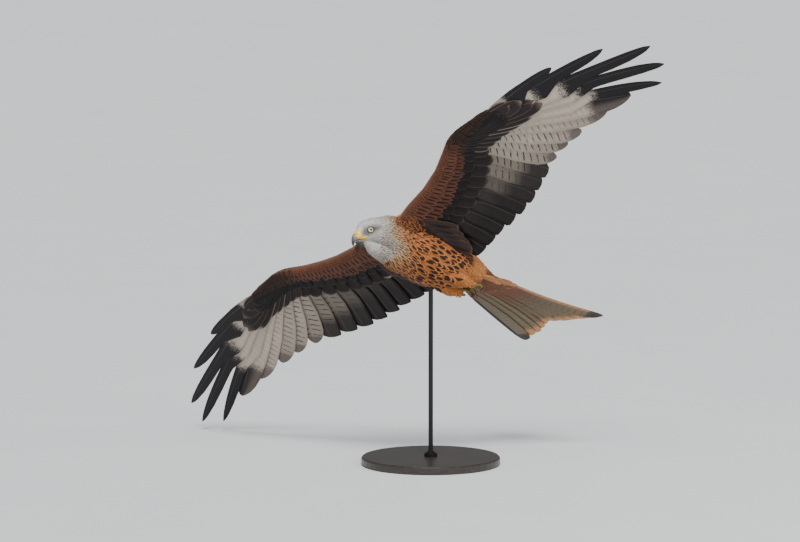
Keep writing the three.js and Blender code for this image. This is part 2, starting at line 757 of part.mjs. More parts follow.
const turned = (profile, segments) =>
  new THREE.LatheGeometry(profile.map(([r, z]) => new THREE.Vector2(r, z)), segments).rotateX(Math.PI / 2);
const basePlate = turned(
  [
    [0, 0],
    [BASE_RADIUS - BASE_BEVEL, 0],
    [BASE_RADIUS, BASE_BEVEL],
    [BASE_RADIUS, BASE_HEIGHT - BASE_BEVEL],
    [BASE_RADIUS - BASE_BEVEL, BASE_HEIGHT],
    [0, BASE_HEIGHT],
  ],
  48,
);
const rodStart = BASE_HEIGHT + GAP;
const rod = turned(
  [
    [0, rodStart],
    [ROD_FOOT[0], rodStart],
    [ROD_FOOT[0], rodStart + ROD_FOOT[1]],
    [ROD_RADIUS, rodStart + 2 * ROD_FOOT[1]],
    [ROD_RADIUS, heldHeight - ROD_TOP],
    [0, heldHeight - ROD_TOP],
  ],
  24,
);

const model = new THREE.Group();
model.add(bird);
model.add(namedMesh("stand_base", toGeometry(toSolid(basePlate)), "stand"));
model.add(namedMesh("stand_rod", toGeometry(toSolid(rod)), "stand"));
export default model;
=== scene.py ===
# A red kite in a banked glide, life size, on a plain display stand.
# Shapes are worked out in the bird's own frame, in millimetres: x ahead, y to its left and z up from a point
# between its shoulders. HANG turns them into metres in the stand's frame.
import itertools
import math

import bmesh
import bpy
import numpy as np
from mathutils import Matrix, Vector
from mathutils.bvhtree import BVHTree


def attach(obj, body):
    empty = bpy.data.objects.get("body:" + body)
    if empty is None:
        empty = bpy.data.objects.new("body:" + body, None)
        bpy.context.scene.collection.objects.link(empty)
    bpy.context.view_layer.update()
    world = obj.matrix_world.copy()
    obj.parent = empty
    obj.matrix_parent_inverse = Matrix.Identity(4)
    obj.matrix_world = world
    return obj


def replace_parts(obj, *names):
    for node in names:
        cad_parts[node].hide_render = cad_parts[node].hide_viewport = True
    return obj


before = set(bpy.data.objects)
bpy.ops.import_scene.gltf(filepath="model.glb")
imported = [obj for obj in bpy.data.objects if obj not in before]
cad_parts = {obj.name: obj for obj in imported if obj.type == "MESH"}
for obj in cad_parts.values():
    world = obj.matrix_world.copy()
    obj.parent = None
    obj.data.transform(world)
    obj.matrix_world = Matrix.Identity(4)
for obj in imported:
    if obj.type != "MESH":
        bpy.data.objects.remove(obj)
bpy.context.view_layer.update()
rng = np.random.default_rng(11)

# How the bird hangs in the air, seen by a viewer who looks down a little: right, up and towards the viewer
VIEW_PITCH = math.radians(8)
FORWARD_SEEN = (-0.7902, 0.4234, 0.4431)
UP_SEEN = (0.0603, 0.7732, -0.6313)
HUNG_AT = Vector((-0.070045, -0.002706, 0.518071))  # where the point between the shoulders hangs, in metres


def axes(origin, forward, up):
    """A frame as a matrix: its columns are ahead, left, up and the origin."""
    forward = Vector(forward).normalized()
    left = Vector(up).cross(forward).normalized()
    made = Matrix((forward, left, forward.cross(left))).transposed().to_4x4()
    made.translation = Vector(origin)
    return made


def seen(right, up, near):
    sin, cos = math.sin(VIEW_PITCH), math.cos(VIEW_PITCH)
    return Vector((right, up * sin - near * cos, up * cos + near * sin))


HANG = Matrix.Translation(HUNG_AT) @ axes((0, 0, 0), seen(*FORWARD_SEEN), seen(*UP_SEEN)) @ Matrix.Scale(0.001, 4)
HEAD = axes((70, -7, -50), (0.721, -0.503, -0.476), (0.582, 0.069, 0.809))  # origin midway between the eyes

SIDES = (("left", 1), ("right", -1))
EYE_RADIUS = 7.2
EYE_SIDE = 12.9  # from the middle of the head to an eye's centre
EYE_OPENING = 6.9  # radius of the gap between the lids
LID_RADIUS = 1.05  # of the roll round that gap
PUPIL_RIM, IRIS_RIM = (2.9, 2.6), (4.9, 5.5)  # where the pupil's edge and the iris's dark rim lie, off the axis
# Head rings: place ahead of the eyes, middle height, half width, half height
HEAD_RINGS = [
    (24, 3.5, 9.5, 13.5),
    (17, 5, 13.5, 19.5),
    (8, 5, 17, 23.5),
    (-2, 3, 19.5, 26.5),
    (-14, -2, 24, 31.5),
    (-28, -10, 28, 38),
]
# Torso rings: place ahead, middle height, half width, half height
TORSO_RINGS = [
    (-20, -38, 61, 53),
    (-48, -39, 66, 57),
    (-80, -39, 67, 59),
    (-112, -37, 64, 57),
    (-145, -33, 58, 52),
    (-175, -28, 51, 44),
    (-200, -24, 44, 33),
    (-220, -22, 38, 23),
    (-240, -23, 33, 14),
    (-262, -25, 28, 5),
]
# The full throat, from the chin down into the breast: place and radius
THROAT = [
    (76, -20, -66, 3),
    (70, -19, -66, 8),
    (51, -21, -71, 18),
    (25, -20, -58, 34),
    (-10, -12, -51, 50),
    (-60, -5, -42, 50),
]
SOCKET_SLOPE = 5  # width of the slope from the lids out to the face
THIGH = ((-146, 21, -70), (40, 17, 18))  # centre and half sizes of the left one
BROW = ((3, 16.2, 9.4), (14, 3.6, 3))  # the ridge over the left eye, in the head's frame
NECK_RINGS = 5
TUBE_SIDES, THROAT_SIDES, ARM_SIDES = 40, 28, 24
SKIN_VOXEL = 2.0
COAT_DEPTH = {"head": 1.6, "body": 5.0, "arm": 2.5}  # how far the skin lies under the coat

# Wing: distance along the span, then how far ahead and how high the leading edge lies, and the feather tips
WING_STATIONS = [
    (40, 38, -31, -158, -31),
    (75, 45, -26, -163, -31),
    (110, 48.5, -21.5, -164, -30.6),
    (170, 54, -13, -152, -28),
    (235, 73, -4, -150, -22),
    (300, 100, 4, -140, -19),
    (385, 90, 15, -111, -15),
    (475, 76, 22, -90, -14),
    (610, 56, 31, -89, -11),
    (700, 30, 33, -93, -10),
    (812, -30, 33, -95, -10),
]
WING_CAMBER = 0.05  # rise of the arm's middle over its chord line, as a share of the chord
CAMBER_ENDS = (280, 430)  # between these places along the span it fades out
# The arm and hand: distance along the span, chord, thickness
ARM_STATIONS = [
    (44, 124, 34),
    (90, 119, 28),
    (150, 107, 25),
    (210, 96, 22),
    (262, 86, 20),
    (300, 74, 19),
    (340, 60, 17),
    (380, 44, 15),
    (404, 32, 12),
    (420, 14, 5),
]
# Primaries from the wrist out: how far ahead, how far along the span and how high each tip lies
PRIMARY_TIPS = [
    (-101, 423, -13),
    (-90, 476, -14),
    (-87, 526, -14),
    (-89, 609, -8),
    (-93, 684, -9),
    (-108, 770, -22),
    (-80, 812, -13),
    (-44, 808, 18),
    (15, 721, 32),
    (58, 601, 33),
]
PRIMARY_ROOTS = (296, 378)
SECONDARIES = 8
SECONDARY_ROOTS = (282, 74)
SECONDARY_TIPS = (383, 96)

TAIL = axes((-235, -5, -27), (1, 0, 0), (0, 0, 1))
TAIL_YAW, TAIL_PITCH, TAIL_ROLL = math.radians(8.9), math.radians(8.8), math.radians(-11.5)
TAIL = TAIL @ Matrix.Rotation(TAIL_YAW, 4, "Z") @ Matrix.Rotation(TAIL_PITCH, 4, "Y")
TAIL = TAIL @ Matrix.Rotation(TAIL_ROLL, 4, "X")
TAIL_FEATHERS = 12
TAIL_SPREAD = math.radians(24.6)  # each way from the middle
TAIL_ROOT_WIDTH = 33  # half of it
TAIL_LENGTH = (219, 288)  # middle and outer feathers


# Numbers
def mix(a, b, t):
    return a + (b - a) * t


def ease(low, high, x):
    """0 below low, 1 above high, smooth between."""
    t = np.clip((np.asarray(x, float) - low) / (high - low), 0, 1)
    return t * t * (3 - 2 * t)


def between(rows, at, column):
    """Smooth values between the rows of a table, by its first column."""
    rows = np.array(rows, float)
    keys, values = rows[:, 0], rows[:, column]
    ends = np.clip(np.arange(len(rows)) + 1, 0, len(rows) - 1)
    starts = np.clip(np.arange(len(rows)) - 1, 0, len(rows) - 1)
    slopes = (values[ends] - values[starts]) / (keys[ends] - keys[starts])
    i = np.clip(np.searchsorted(keys, at) - 1, 0, len(rows) - 2)
    step = keys[i + 1] - keys[i]
    t = np.clip((at - keys[i]) / step, 0, 1)
    rise = values[i + 1] - values[i]
    bend = slopes[i] * t * (1 - t) ** 2 - slopes[i + 1] * t * t * (1 - t)
    return values[i] + rise * t * t * (3 - 2 * t) + step * bend


def unit(v):
    return v / np.maximum(np.linalg.norm(v, axis=-1, keepdims=True), 1e-9)


def placed(matrix, points):
    m = np.array(matrix)
    return points @ m[:3, :3].T + m[:3, 3]


def rgb(hex_colour):
    """An sRGB hex colour as linear red, green and blue."""
    parts = [int(hex_colour[i : i + 2], 16) / 255 for i in (1, 3, 5)]
    return np.array([c / 12.92 if c <= 0.04045 else ((c + 0.055) / 1.055) ** 2.4 for c in parts])


def front_at(y):
    """How far ahead the wing's leading edge lies."""
    return between(WING_STATIONS, y, 1)


def chord_at(y):
    return between(ARM_STATIONS, y, 1)


def arm_bulge(t):
    """How thick the arm is, from its leading edge, 0, to its rear, 1, as a share of its full half thickness."""
    return 2.6 * np.sqrt(np.maximum(t, 0)) * (1 - t) + 0.06


def wing_height(x, y):
    """How high the sheet of wing feathers lies."""
    front, front_z, rear, rear_z = (between(WING_STATIONS, y, column) for column in (1, 2, 3, 4))
    t = np.clip((x - rear) / (front - rear), -0.2, 1.1)
    camber = WING_CAMBER * (1 - ease(*CAMBER_ENDS, y)) * (front - rear) * 4 * np.maximum(0, t * (1 - t))
    return mix(rear_z, front_z, t) + camber


# Objects
def finished(bm, name, material, matrix=HANG):
    """Turns a bmesh in the bird's frame into a piece that rides on the body."""
    bmesh.ops.transform(bm, matrix=matrix, verts=bm.verts)
    mesh = bpy.data.meshes.new(name)
    bm.to_mesh(mesh)
    bm.free()
    return piece(name, mesh, material)


def piece(name, mesh, material):
    mesh.polygons.foreach_set("use_smooth", [True] * len(mesh.polygons))
    obj = bpy.data.objects.new(name, mesh)
    bpy.context.scene.collection.objects.link(obj)
    mesh.materials.append(material)
    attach(obj, "root")
    return obj


# The skin: one closed surface under the coat, from brow to tail and out along the arms
def neck_path(t):
    """Frames along the neck, from the last head ring to the first torso ring."""
    start = HEAD @ Vector((HEAD_RINGS[-1][0], 0, HEAD_RINGS[-1][1]))
    end = Vector((TORSO_RINGS[0][0], 0, TORSO_RINGS[0][1]))
    pull = (end - start).length / 3
    ahead = HEAD.col[0].xyz
    a, b, c, d = start, start - ahead * pull, end + Vector((pull, 0, 0)), end
    s = 1 - t
    point = a * s**3 + b * 3 * s * s * t + c * 3 * s * t * t + d * t**3
    along = (b - a) * 3 * s * s + (c - b) * 6 * s * t + (d - c) * 3 * t * t
    return axes(point, -along, HEAD.col[2].xyz.lerp(Vector((0, 0, 1)), t))


def edges_of(made):
    return list({edge for vert in made["verts"] for edge in vert.link_edges})


def ring_at(bm, matrix, half_width, half_height, sides):
    """An ellipse of edges across a frame."""
    across = Matrix((matrix.col[1] * half_width, matrix.col[2] * half_height, matrix.col[0], matrix.col[3]))
    return edges_of(bmesh.ops.create_circle(bm, segments=sides, radius=1, matrix=across.transposed()))


def skin_tube(bm, rings):
    """Joins rings into a closed tube."""
    for one, other in zip(rings, rings[1:]):
        bmesh.ops.bridge_loops(bm, edges=one + other)
    bmesh.ops.holes_fill(bm, edges=rings[0] + rings[-1])


def body_tube(bm):
    head, deep = COAT_DEPTH["head"], COAT_DEPTH["body"]
    rings = []
    for i, (x, z, width, height) in enumerate(HEAD_RINGS):
        depth = mix(head, deep, ease(3, 6, i))
        at = HEAD @ Matrix.Translation((x, 0, z))
        rings.append(ring_at(bm, at, width - depth, height - depth, TUBE_SIDES))
    for i in range(1, NECK_RINGS + 1):
        t = i / (NECK_RINGS + 1)
        width, height = (mix(HEAD_RINGS[-1][k], TORSO_RINGS[0][k], t) - deep for k in (2, 3))
        rings.append(ring_at(bm, neck_path(t), width, height, TUBE_SIDES))
    for x, z, width, height in TORSO_RINGS:
        depth = min(deep, height * 0.3)
        rings.append(ring_at(bm, Matrix.Translation((x, 0, z)), width - depth, height - depth, TUBE_SIDES))
    skin_tube(bm, rings)


def throat_tube(bm):
    points = [Vector(row[:3]) for row in THROAT]
    rings = []
    for i, row in enumerate(THROAT):
        along = points[max(i - 1, 0)] - points[min(i + 1, len(points) - 1)]
        depth = min(COAT_DEPTH["head"] + i, row[3] * 0.4, COAT_DEPTH["body"])
        rings.append(ring_at(bm, axes(points[i], along, (0, 0, 1)), row[3] - depth, row[3] - depth, THROAT_SIDES))
    skin_tube(bm, rings)


def arm_tube(bm, side):
    rings = []
    for y, chord, thickness in ARM_STATIONS:
        made = bmesh.ops.create_circle(bm, segments=ARM_SIDES, radius=1)
        front = float(front_at(y)) - COAT_DEPTH["arm"] * 0.6
        half = max(thickness / 2 - COAT_DEPTH["arm"], 1.2)
        for vert in made["verts"]:
            t = 0.5 - 0.5 * vert.co.x  # share of the chord from the leading edge
            rise = half * float(arm_bulge(t)) * math.copysign(1, vert.co.y)
            x = front - (chord - 4) * t
            rise *= min(1, abs(vert.co.y) * 3)
            vert.co = (x, side * y, float(wing_height(x, y)) + rise)
        rings.append(edges_of(made))
    skin_tube(bm, rings)


def lobe(bm, matrix, shape, side, deep, segments, rows):
    """An ellipsoid of flesh on one side, less the depth of the coat over it."""
    (x, y, z), size = shape
    place = matrix @ Matrix.Translation((x, y * side, z)) @ Matrix.Diagonal((*(s - deep for s in size), 1))
    bmesh.ops.create_uvsphere(bm, u_segments=segments, v_segments=rows, radius=1, matrix=place)


def skin_mesh():
    """Tubes and lobes of flesh, made one closed surface and smoothed."""
    bm = bmesh.new()
    body_tube(bm)
    throat_tube(bm)
    for side in (1, -1):
        arm_tube(bm, side)
        lobe(bm, Matrix(), THIGH, side, 3, 24, 14)
        lobe(bm, HEAD, BROW, side, 0.8, 20, 12)
    bmesh.ops.recalc_face_normals(bm, faces=bm.faces)
    rough = bpy.data.meshes.new("skin_rough")
    bm.to_mesh(rough)
    bm.free()
    carrier = bpy.data.objects.new("skin_rough", rough)
    bpy.context.scene.collection.objects.link(carrier)
    remesh = carrier.modifiers.new("Remesh", "REMESH")
    remesh.mode, remesh.voxel_size = "VOXEL", SKIN_VOXEL
    smooth = carrier.modifiers.new("Smooth", "SMOOTH")
    smooth.factor, smooth.iterations = 0.5, 8
    made = bpy.data.meshes.new_from_object(carrier.evaluated_get(bpy.context.evaluated_depsgraph_get()))
    bpy.data.objects.remove(carrier)
    return made


def vertex_values(mesh, word):
    """The coordinates, or the normals, of all points."""
    flat = np.empty(len(mesh.vertices) * 3)
    mesh.vertices.foreach_get(word, flat)
    return flat.reshape(-1, 3)


def skin_triangles(mesh):
    mesh.calc_loop_triangles()
    flat = np.empty(len(mesh.loop_triangles) * 3, np.int32)
    mesh.loop_triangles.foreach_get("vertices", flat)
    return flat.reshape(-1, 3)


def sink_sockets(points):
    """Draws the skin in round each eye, so that the ball sits in a socket under the brow."""
    head = placed(HEAD.inverted(), points)
    lid = EYE_SIDE + math.sqrt(EYE_RADIUS**2 - EYE_OPENING**2) + 0.6
    for side in (1, -1):
        radius = np.hypot(head[:, 0], head[:, 2])
        outside = head[:, 1] * side > EYE_SIDE * 0.6
        head[outside & (radius < EYE_OPENING), 1] = side * (EYE_SIDE - 2)
        slope = ease(EYE_OPENING, EYE_OPENING + SOCKET_SLOPE, radius)
        rim = outside & (radius >= EYE_OPENING) & (radius < EYE_OPENING + SOCKET_SLOPE)
        head[rim, 1] = mix(side * lid, head[rim, 1], slope[rim])
    return placed(HEAD, head)


skin = skin_mesh()
skin_points = sink_sockets(vertex_values(skin, "co"))
skin.vertices.foreach_set("co", skin_points.ravel())
skin.update()
skin_faces = skin_triangles(skin)
skin_normals = vertex_values(skin, "normal")
skin_tree = BVHTree.FromPolygons([tuple(p) for p in skin_points], [tuple(p.vertices) for p in skin.polygons])


# Where a point of the skin lies along the bird
SPINE_HEAD = ((45, -8), (30, 2), (24, 3), (12, 3), (0, 1), (-14, -2))  # down the head, in its own frame
SPINE_BROW = 2  # which of these is the brow
SPINE_TAIL = ((-290, -27), (-330, -27), (-380, -27))
SPINE_POINTS = 240


def spine_samples():
    """Points down the middle of the bird with the way that feathers point there, a frame's left and up, and the
    distance from the brow."""
    stops = [HEAD @ Matrix.Translation((x, 0, z)) for x, z in SPINE_HEAD]
    stops += [neck_path(t) for t in np.linspace(0, 1, 9)]
    stops += [Matrix.Translation((x, 0, z)) for x, z, _, _ in TORSO_RINGS[1:]]
    stops += [Matrix.Translation((x, -3, z)) for x, z in SPINE_TAIL]
    points = np.array([m.col[3].xyz for m in stops])
    lefts = np.array([m.col[1].xyz for m in stops])
    ups = np.array([m.col[2].xyz for m in stops])
    run = np.concatenate([[0], np.cumsum(np.linalg.norm(np.diff(points, axis=0), axis=1))])
    fine = np.linspace(0, run[-1], SPINE_POINTS)

    def pick(values):
        return np.stack([np.interp(fine, run, values[:, k]) for k in range(3)], axis=1)

    points, lefts, ups = pick(points), pick(lefts), pick(ups)
    return points, unit(np.gradient(points, axis=0)), lefts, ups, fine - run[SPINE_BROW]


SPINE = spine_samples()
SHOULDER = 45  # points this far to the side are no longer on the head or neck
SHOULDER_RUN = 2.5  # for each mm beyond that they lie so much farther down the breast's plumage
BLOCK = 4000  # points that are looked up at a time


def along_spine(points):
    """Distance down the spine, the way that feathers point, and how far a point faces up, from -1 to 1."""
    spine, ways, lefts, ups, run = SPINE
    nearest = np.empty(len(points), int)
    for start in range(0, len(points), BLOCK):
        block = points[start : start + BLOCK]
        nearest[start : start + BLOCK] = np.argmin(((block[:, None] - spine[None]) ** 2).sum(2), axis=1)
    off = points - spine[nearest]
    up = (off * ups[nearest]).sum(1)
    left = (off * lefts[nearest]).sum(1)
    turn = np.arctan2(left, up)
    # the shoulders lie beside the head but carry on from the breast
    beside = np.clip(np.abs(points[:, 1]) - SHOULDER, 0, 40)
    run, way = run[nearest], ways[nearest]
    run = run + SHOULDER_RUN * beside * (1 - ease(90, 130, run))
    way = unit(mix(way, np.array([-1, 0, 0]), ease(0, 12, beside)[:, None]))
    return run, way, np.cos(turn), turn


def quill_roots_and_tips():
    """The shaft's root and tip of each flight feather, from the innermost secondary to the outermost primary."""
    quills = []
    for i in reversed(range(SECONDARIES)):
        t = i / (SECONDARIES - 1)
        y, tip_y = mix(*SECONDARY_ROOTS, t), mix(*SECONDARY_TIPS, t)
        front = float(front_at(y) - 0.6 * chord_at(y))
        quills.append((front, y, float(between(WING_STATIONS, tip_y, 3)), tip_y, None))
    for i, (x, tip_y, z) in enumerate(PRIMARY_TIPS):
        t = i / (len(PRIMARY_TIPS) - 1)
        y = mix(*PRIMARY_ROOTS, t)
        front = float(front_at(y) - mix(0.5, 0.3, t) * chord_at(y))
        quills.append((front, y, x, tip_y, z))
    return quills


QUILLS = quill_roots_and_tips()


def quill_at(share):
    """Root and tip of a shaft at any place between those two."""
    at = share * (len(QUILLS) - 1)
    i = min(int(at), len(QUILLS) - 2)
    got = mix(*(np.array(quill[:4]) for quill in QUILLS[i : i + 2]), at - i)
    return got[:2], got[2:]


def arm_lie(points):
    """The way that feathers point on an arm: as the nearest quill does."""
    roots = np.array([q[1] for q in QUILLS])
    ways = unit(np.array([[q[2] - q[0], q[3] - q[1]] for q in QUILLS]))
    side = np.sign(points[:, 1])
    y = np.abs(points[:, 1])
    way = np.stack([np.interp(y, roots, ways[:, 0]), np.interp(y, roots, ways[:, 1]) * side, 0 * y], axis=1)
    return unit(way)


def arm_share(points):
    """How far back across the arm a point lies: 0 at the leading edge, 1 where the flight feathers root."""
    y = np.abs(points[:, 1])
    return (front_at(y) - points[:, 0]) / chord_at(y)


# Plumage: colours and markings by place, the same for the skin and for the feathers over it. Each row holds a
# place, then the feather's ground, its mark and its edge, how wide the dark streak down its middle is, as a share
# of the vane, and how far along the vane it begins
UNDERSIDE = [
    (0, "#bdbbb8", "#55504d", "#c8c6c3", 0.14, 0.3),
    (34, "#b4b1ac", "#45403d", "#c5c1bb", 0.24, 0.3),
    (60, "#aba193", "#382f2b", "#c6baaa", 0.40, 0.28),
    (86, "#a6835f", "#2f231d", "#c19d75", 0.44, 0.28),
    (112, "#a0653a", "#2b1f1a", "#bb8050", 0.50, 0.40),
    (150, "#9f5c2e", "#261915", "#b97945", 0.66, 0.42),
    (215, "#a15f30", "#2e1e18", "#ba7c46", 0.58, 0.42),
    (245, "#a66432", "#5a3824", "#bd7e46", 0.24, 0.5),
    (270, "#ac6935", "#8a5a34", "#c28a55", 0.06, 0.5),
    (298, "#ac6b38", "#8a5a34", "#c28a55", 0.04, 0.5),
    (304, "#6c4530", "#563626", "#7a5139", 0.04, 0.5),
    (420, "#6c4530", "#563626", "#7a5139", 0.03, 0.5),
]
UPPERSIDE = [
    (0, "#cbc9c5", "#66605c", "#d6d4d0", 0.12, 0.3),
    (40, "#bcb6ad", "#4a4441", "#cdc6ba", 0.28, 0.3),
    (70, "#a68a6a", "#40342e", "#bfa483", 0.38, 0.3),
    (105, "#8a5a34", "#2d201b", "#ac7443", 0.52, 0.3),
    (160, "#553626", "#271a15", "#955f37", 0.6, 0.3),
    (250, "#633b26", "#2b1b15", "#9f6135", 0.5, 0.3),
    (310, "#97502a", "#523020", "#b0683b", 0.20, 0.3),
    (420, "#a2552a", "#6d3a20", "#b86b3c", 0.10, 0.3),
]
# Under and over the arm, from the leading edge back to the roots of the flight feathers
UNDER_ARM = [
    (0.0, "#6b432f", "#2a1a15", "#7d5039", 0.06, 0.3),
    (0.12, "#673f2d", "#21140f", "#764a36", 0.26, 0.25),
    (0.20, "#5d382a", "#180f0e", "#6c4331", 0.36, 0.2),
    (0.44, "#523024", "#150e0e", "#613a2b", 0.36, 0.2),
    (0.54, "#271b18", "#141011", "#34241f", 0.30, 0.2),
    (1.0, "#1f1819", "#141113", "#2b2122", 0.2, 0.2),
]
OVER_ARM = [
    (0.0, "#4d3427", "#241a16", "#7a5036", 0.45, 0.3),
    (0.4, "#5f402c", "#281c17", "#93623e", 0.5, 0.3),
    (0.62, "#86664a", "#38281f", "#aa875f", 0.3, 0.3),
    (1.0, "#7f6147", "#36281f", "#a5845f", 0.3, 0.3),
]


def marks_at(rows, at):
    """Ground, mark and edge colours, the streak's width and where it begins, along the rows of a table."""
    keys = [row[0] for row in rows]
    columns = [np.array([rgb(row[k]) for row in rows]) for k in (1, 2, 3)]
    columns += [np.array([[row[k]] for row in rows], float) for k in (4, 5)]
    return [np.stack([np.interp(at, keys, c[:, k]) for k in range(c.shape[1])], axis=1) for c in columns]


def blended(one, other, share):
    return [mix(a, b, share[:, None]) for a, b in zip(one, other)]


GREY_SHORT = 36  # by so many mm the grey of the head ends sooner on the sides than under the throat
EYE_SHADE_FADE = (6, 13)  # how far from the eye the painted shade round it, under the brow and before the eye, begins to fade, and is gone
EYE_SHADE_COLOURS = ("#56504c", "#6a6460")  # ground and edge of the painted shade round the eye
# each flank is darker along a streak behind the wing's root
FLANK_DARK_STREAK = ((-108, 56, -12), (-140, 51, -44), 7)  # the dark streak down each flank: from, to, half width
FLANK_STREAK_COLOURS = ("#33221c", "#4a3026")
ARM_FROM = (56, 88)  # between these places along the span the body's plumage gives way to the arm's


def plumage(points, faces_up):
    """Markings on head, neck, body and arms, with painted shade round the eyes. faces_up is the z of the skin's
    normal.
    """
    run, _, upward, _ = along_spine(points)
    sides = ease(-0.97, -0.6, upward) * (1 - 0.75 * ease(0.1, 0.6, upward))
    run = run + GREY_SHORT * sides * (1 - ease(110, 190, run)) * ease(40, 72, run)
    over = mix(ease(0.15, 0.75, upward), ease(0.1, 0.7, faces_up), on_shoulder(points))
    body = blended(marks_at(UNDERSIDE, run), marks_at(UPPERSIDE, run), over)
    head = placed(HEAD.inverted(), points)
    # painted shade: the face darkened round each eye, under the brow and before it
    from_eye = np.hypot((head[:, 0] - 3) * 0.55, head[:, 2] * 1.2)
    eye_shade = 0.85 * (1 - ease(*EYE_SHADE_FADE, from_eye)) * (np.abs(head[:, 1]) > 6)
    body[3] = body[3] * (1 - 0.85 * trousers(points))[:, None]
    for amount, hexes in ((eye_shade, EYE_SHADE_COLOURS), (flank_dark_streak(points), FLANK_STREAK_COLOURS)):
        for column, hex_colour in zip((0, 2), hexes):
            body[column] = mix(body[column], rgb(hex_colour), amount[:, None])
    share = arm_share(points)
    arm = blended(marks_at(UNDER_ARM, share), marks_at(OVER_ARM, share), ease(-0.2, 0.2, faces_up))
    return blended(body, arm, ease(*ARM_FROM, np.abs(points[:, 1])))


def trousers(points):
    """1 on the thighs, 0 off them."""
    (x, y, z), (long, _, _) = THIGH
    off = np.stack([points[:, 0] - x + 8, np.abs(points[:, 1]) - y, points[:, 2] - z + 6], axis=1) / (long + 6, 30, 22)
    return 1 - ease(0.75, 1.1, np.linalg.norm(off, axis=1))


def flank_dark_streak(points):
    """1 on the dark streak down each flank, 0 off it."""
    start, end, reach = (np.array(v) for v in FLANK_DARK_STREAK)
    beside = np.stack([points[:, 0], np.abs(points[:, 1]), points[:, 2]], axis=1)
    way = end - start
    share = np.clip(((beside - start) @ way) / (way @ way), 0, 1)
    return 1 - ease(reach, reach + 4, np.linalg.norm(beside - start - share[:, None] * way, axis=1))


def on_arm(points):
    """1 on the arms, 0 on the body, with the change at the shoulder."""
    reach = np.abs(points[:, 1]) - 10 * (points[:, 0] > -10)
    return ease(66, 80, reach)


def on_shoulder(points):
    """1 on the front of the shoulders, 0 elsewhere."""
    return ease(SHOULDER - 5, SHOULDER + 20, np.abs(points[:, 1])) * ease(-70, -20, points[:, 0])


# Vanes. A template is a flat grid, one unit long from the root and half a unit wide each way
def vane_template(outline, across, along):
    """Points (side from -1 to 1, share of the length) and faces of a vane whose half width follows the outline."""
    bm = bmesh.new()
    bmesh.ops.create_grid(bm, x_segments=across, y_segments=along, size=1)
    bm.verts.ensure_lookup_table()
    grid = np.array([v.co.xy for v in bm.verts])
    faces = np.array([[v.index for v in f.verts] for f in bm.faces])
    bm.free()
    share = (grid[:, 1] + 1) / 2
    return {"side": grid[:, 0], "share": share, "half": np.interp(share, *zip(*outline)), "faces": faces}


# Half width of a small feather by share of its length, against half its full width
BODY_OUTLINE = [(0, 0.35), (0.2, 0.72), (0.45, 0.96), (0.65, 1), (0.82, 0.86), (0.93, 0.58), (1, 0.16)]
HACKLE_OUTLINE = [(0, 0.4), (0.25, 0.9), (0.5, 1), (0.75, 0.72), (0.9, 0.4), (1, 0.06)]


class Plumes:
    """Collects the vanes of one piece: points, faces, markings and the place of each on the bake map."""

    def __init__(self):
        self.rows = {word: [] for word in ("points", "faces", "lie", "bake", "ground", "mark", "edge")}
        self.count = 0

    def add(self, points, faces, lie, bake, *colours):
        """Takes up one vane. Its ground, mark and edge are one colour each, or one for each point."""
        colours = [np.broadcast_to(values, (len(points), 4)) for values in colours]
        for rows, values in zip(self.rows.values(), (points, faces + self.count, lie, bake, *colours)):
            rows.append(values)
        self.count += len(points)

    def build(self, name, material):
        points, faces, lie, bake, *colours = (np.concatenate(rows) for rows in self.rows.values())
        mesh = bpy.data.meshes.new(name)
        mesh.vertices.add(len(points))
        mesh.vertices.foreach_set("co", placed(HANG, points).ravel())
        mesh.loops.add(faces.size)
        mesh.loops.foreach_set("vertex_index", faces.ravel().astype(np.int32))
        mesh.polygons.add(len(faces))
        mesh.polygons.foreach_set("loop_start", np.arange(0, faces.size, 4, dtype=np.int32))
        mesh.attributes.new("lie", "FLOAT_VECTOR", "POINT").data.foreach_set("vector", lie.ravel())
        for word, values in zip(("ground", "mark", "edge"), colours):
            mesh.attributes.new(word, "FLOAT_COLOR", "POINT").data.foreach_set("color", values.ravel())
        mesh.uv_layers.new(name="OFBake").data.foreach_set("uv", bake[faces.ravel()].ravel())
        mesh.update(calc_edges=True)
        mesh.validate()
        return piece(name, mesh, material)


# Coat of head, neck, body and arms
PATCH = 0.003  # size of a small feather's place on the bake map
PIECE_LIMIT = 190000  # triangles in one piece of the coat


def bake_place(points, faces_up):
    """Where points lie on the unwrap of the skin: the body turned flat round the spine, each arm beside it."""
    run, _, _, turn = along_spine(points)
    round_body, down_body = turn / (2 * np.pi) + 0.5, np.clip((run + 20) / 420, 0, 1)
    body = np.stack([0.02 + 0.56 * round_body, 0.04 + 0.9 * down_body], axis=1)
    along_arm, across_arm = np.clip((np.abs(points[:, 1]) - 50) / 380, 0, 1), np.clip(arm_share(points), 0, 1)
    row = 0.5 * (points[:, 1] > 0) + 0.25 * (faces_up > 0)
    arm = np.stack([0.62 + 0.34 * along_arm, 0.03 + row + 0.19 * across_arm], axis=1)
    return np.where((on_arm(points) > 0.5)[:, None], arm, body)


STRETCH = 2.5  # feathers are so many times farther from each other along than across
TRIES = 9  # places that are tried for each feather


def thinned(places, ways, gap):
    """Which of the places to keep, one by one, so that each is its gap away from those kept before it."""
    size = gap.max() * STRETCH
    taken, keep = {}, []
    for i, cell in enumerate(np.floor(places / size).astype(int).tolist()):
        near = [j for beside in itertools.product(*((k - 1, k, k + 1) for k in cell)) for j in taken.get(beside, ())]
        if near:
            off = places[near] - places[i]
            down = off @ ways[i]
            if ((off**2).sum(1) - (1 - 1 / STRETCH**2) * down**2).min() < gap[i] ** 2:
                continue
        taken.setdefault(tuple(cell), []).append(i)
        keep.append(i)
    return keep


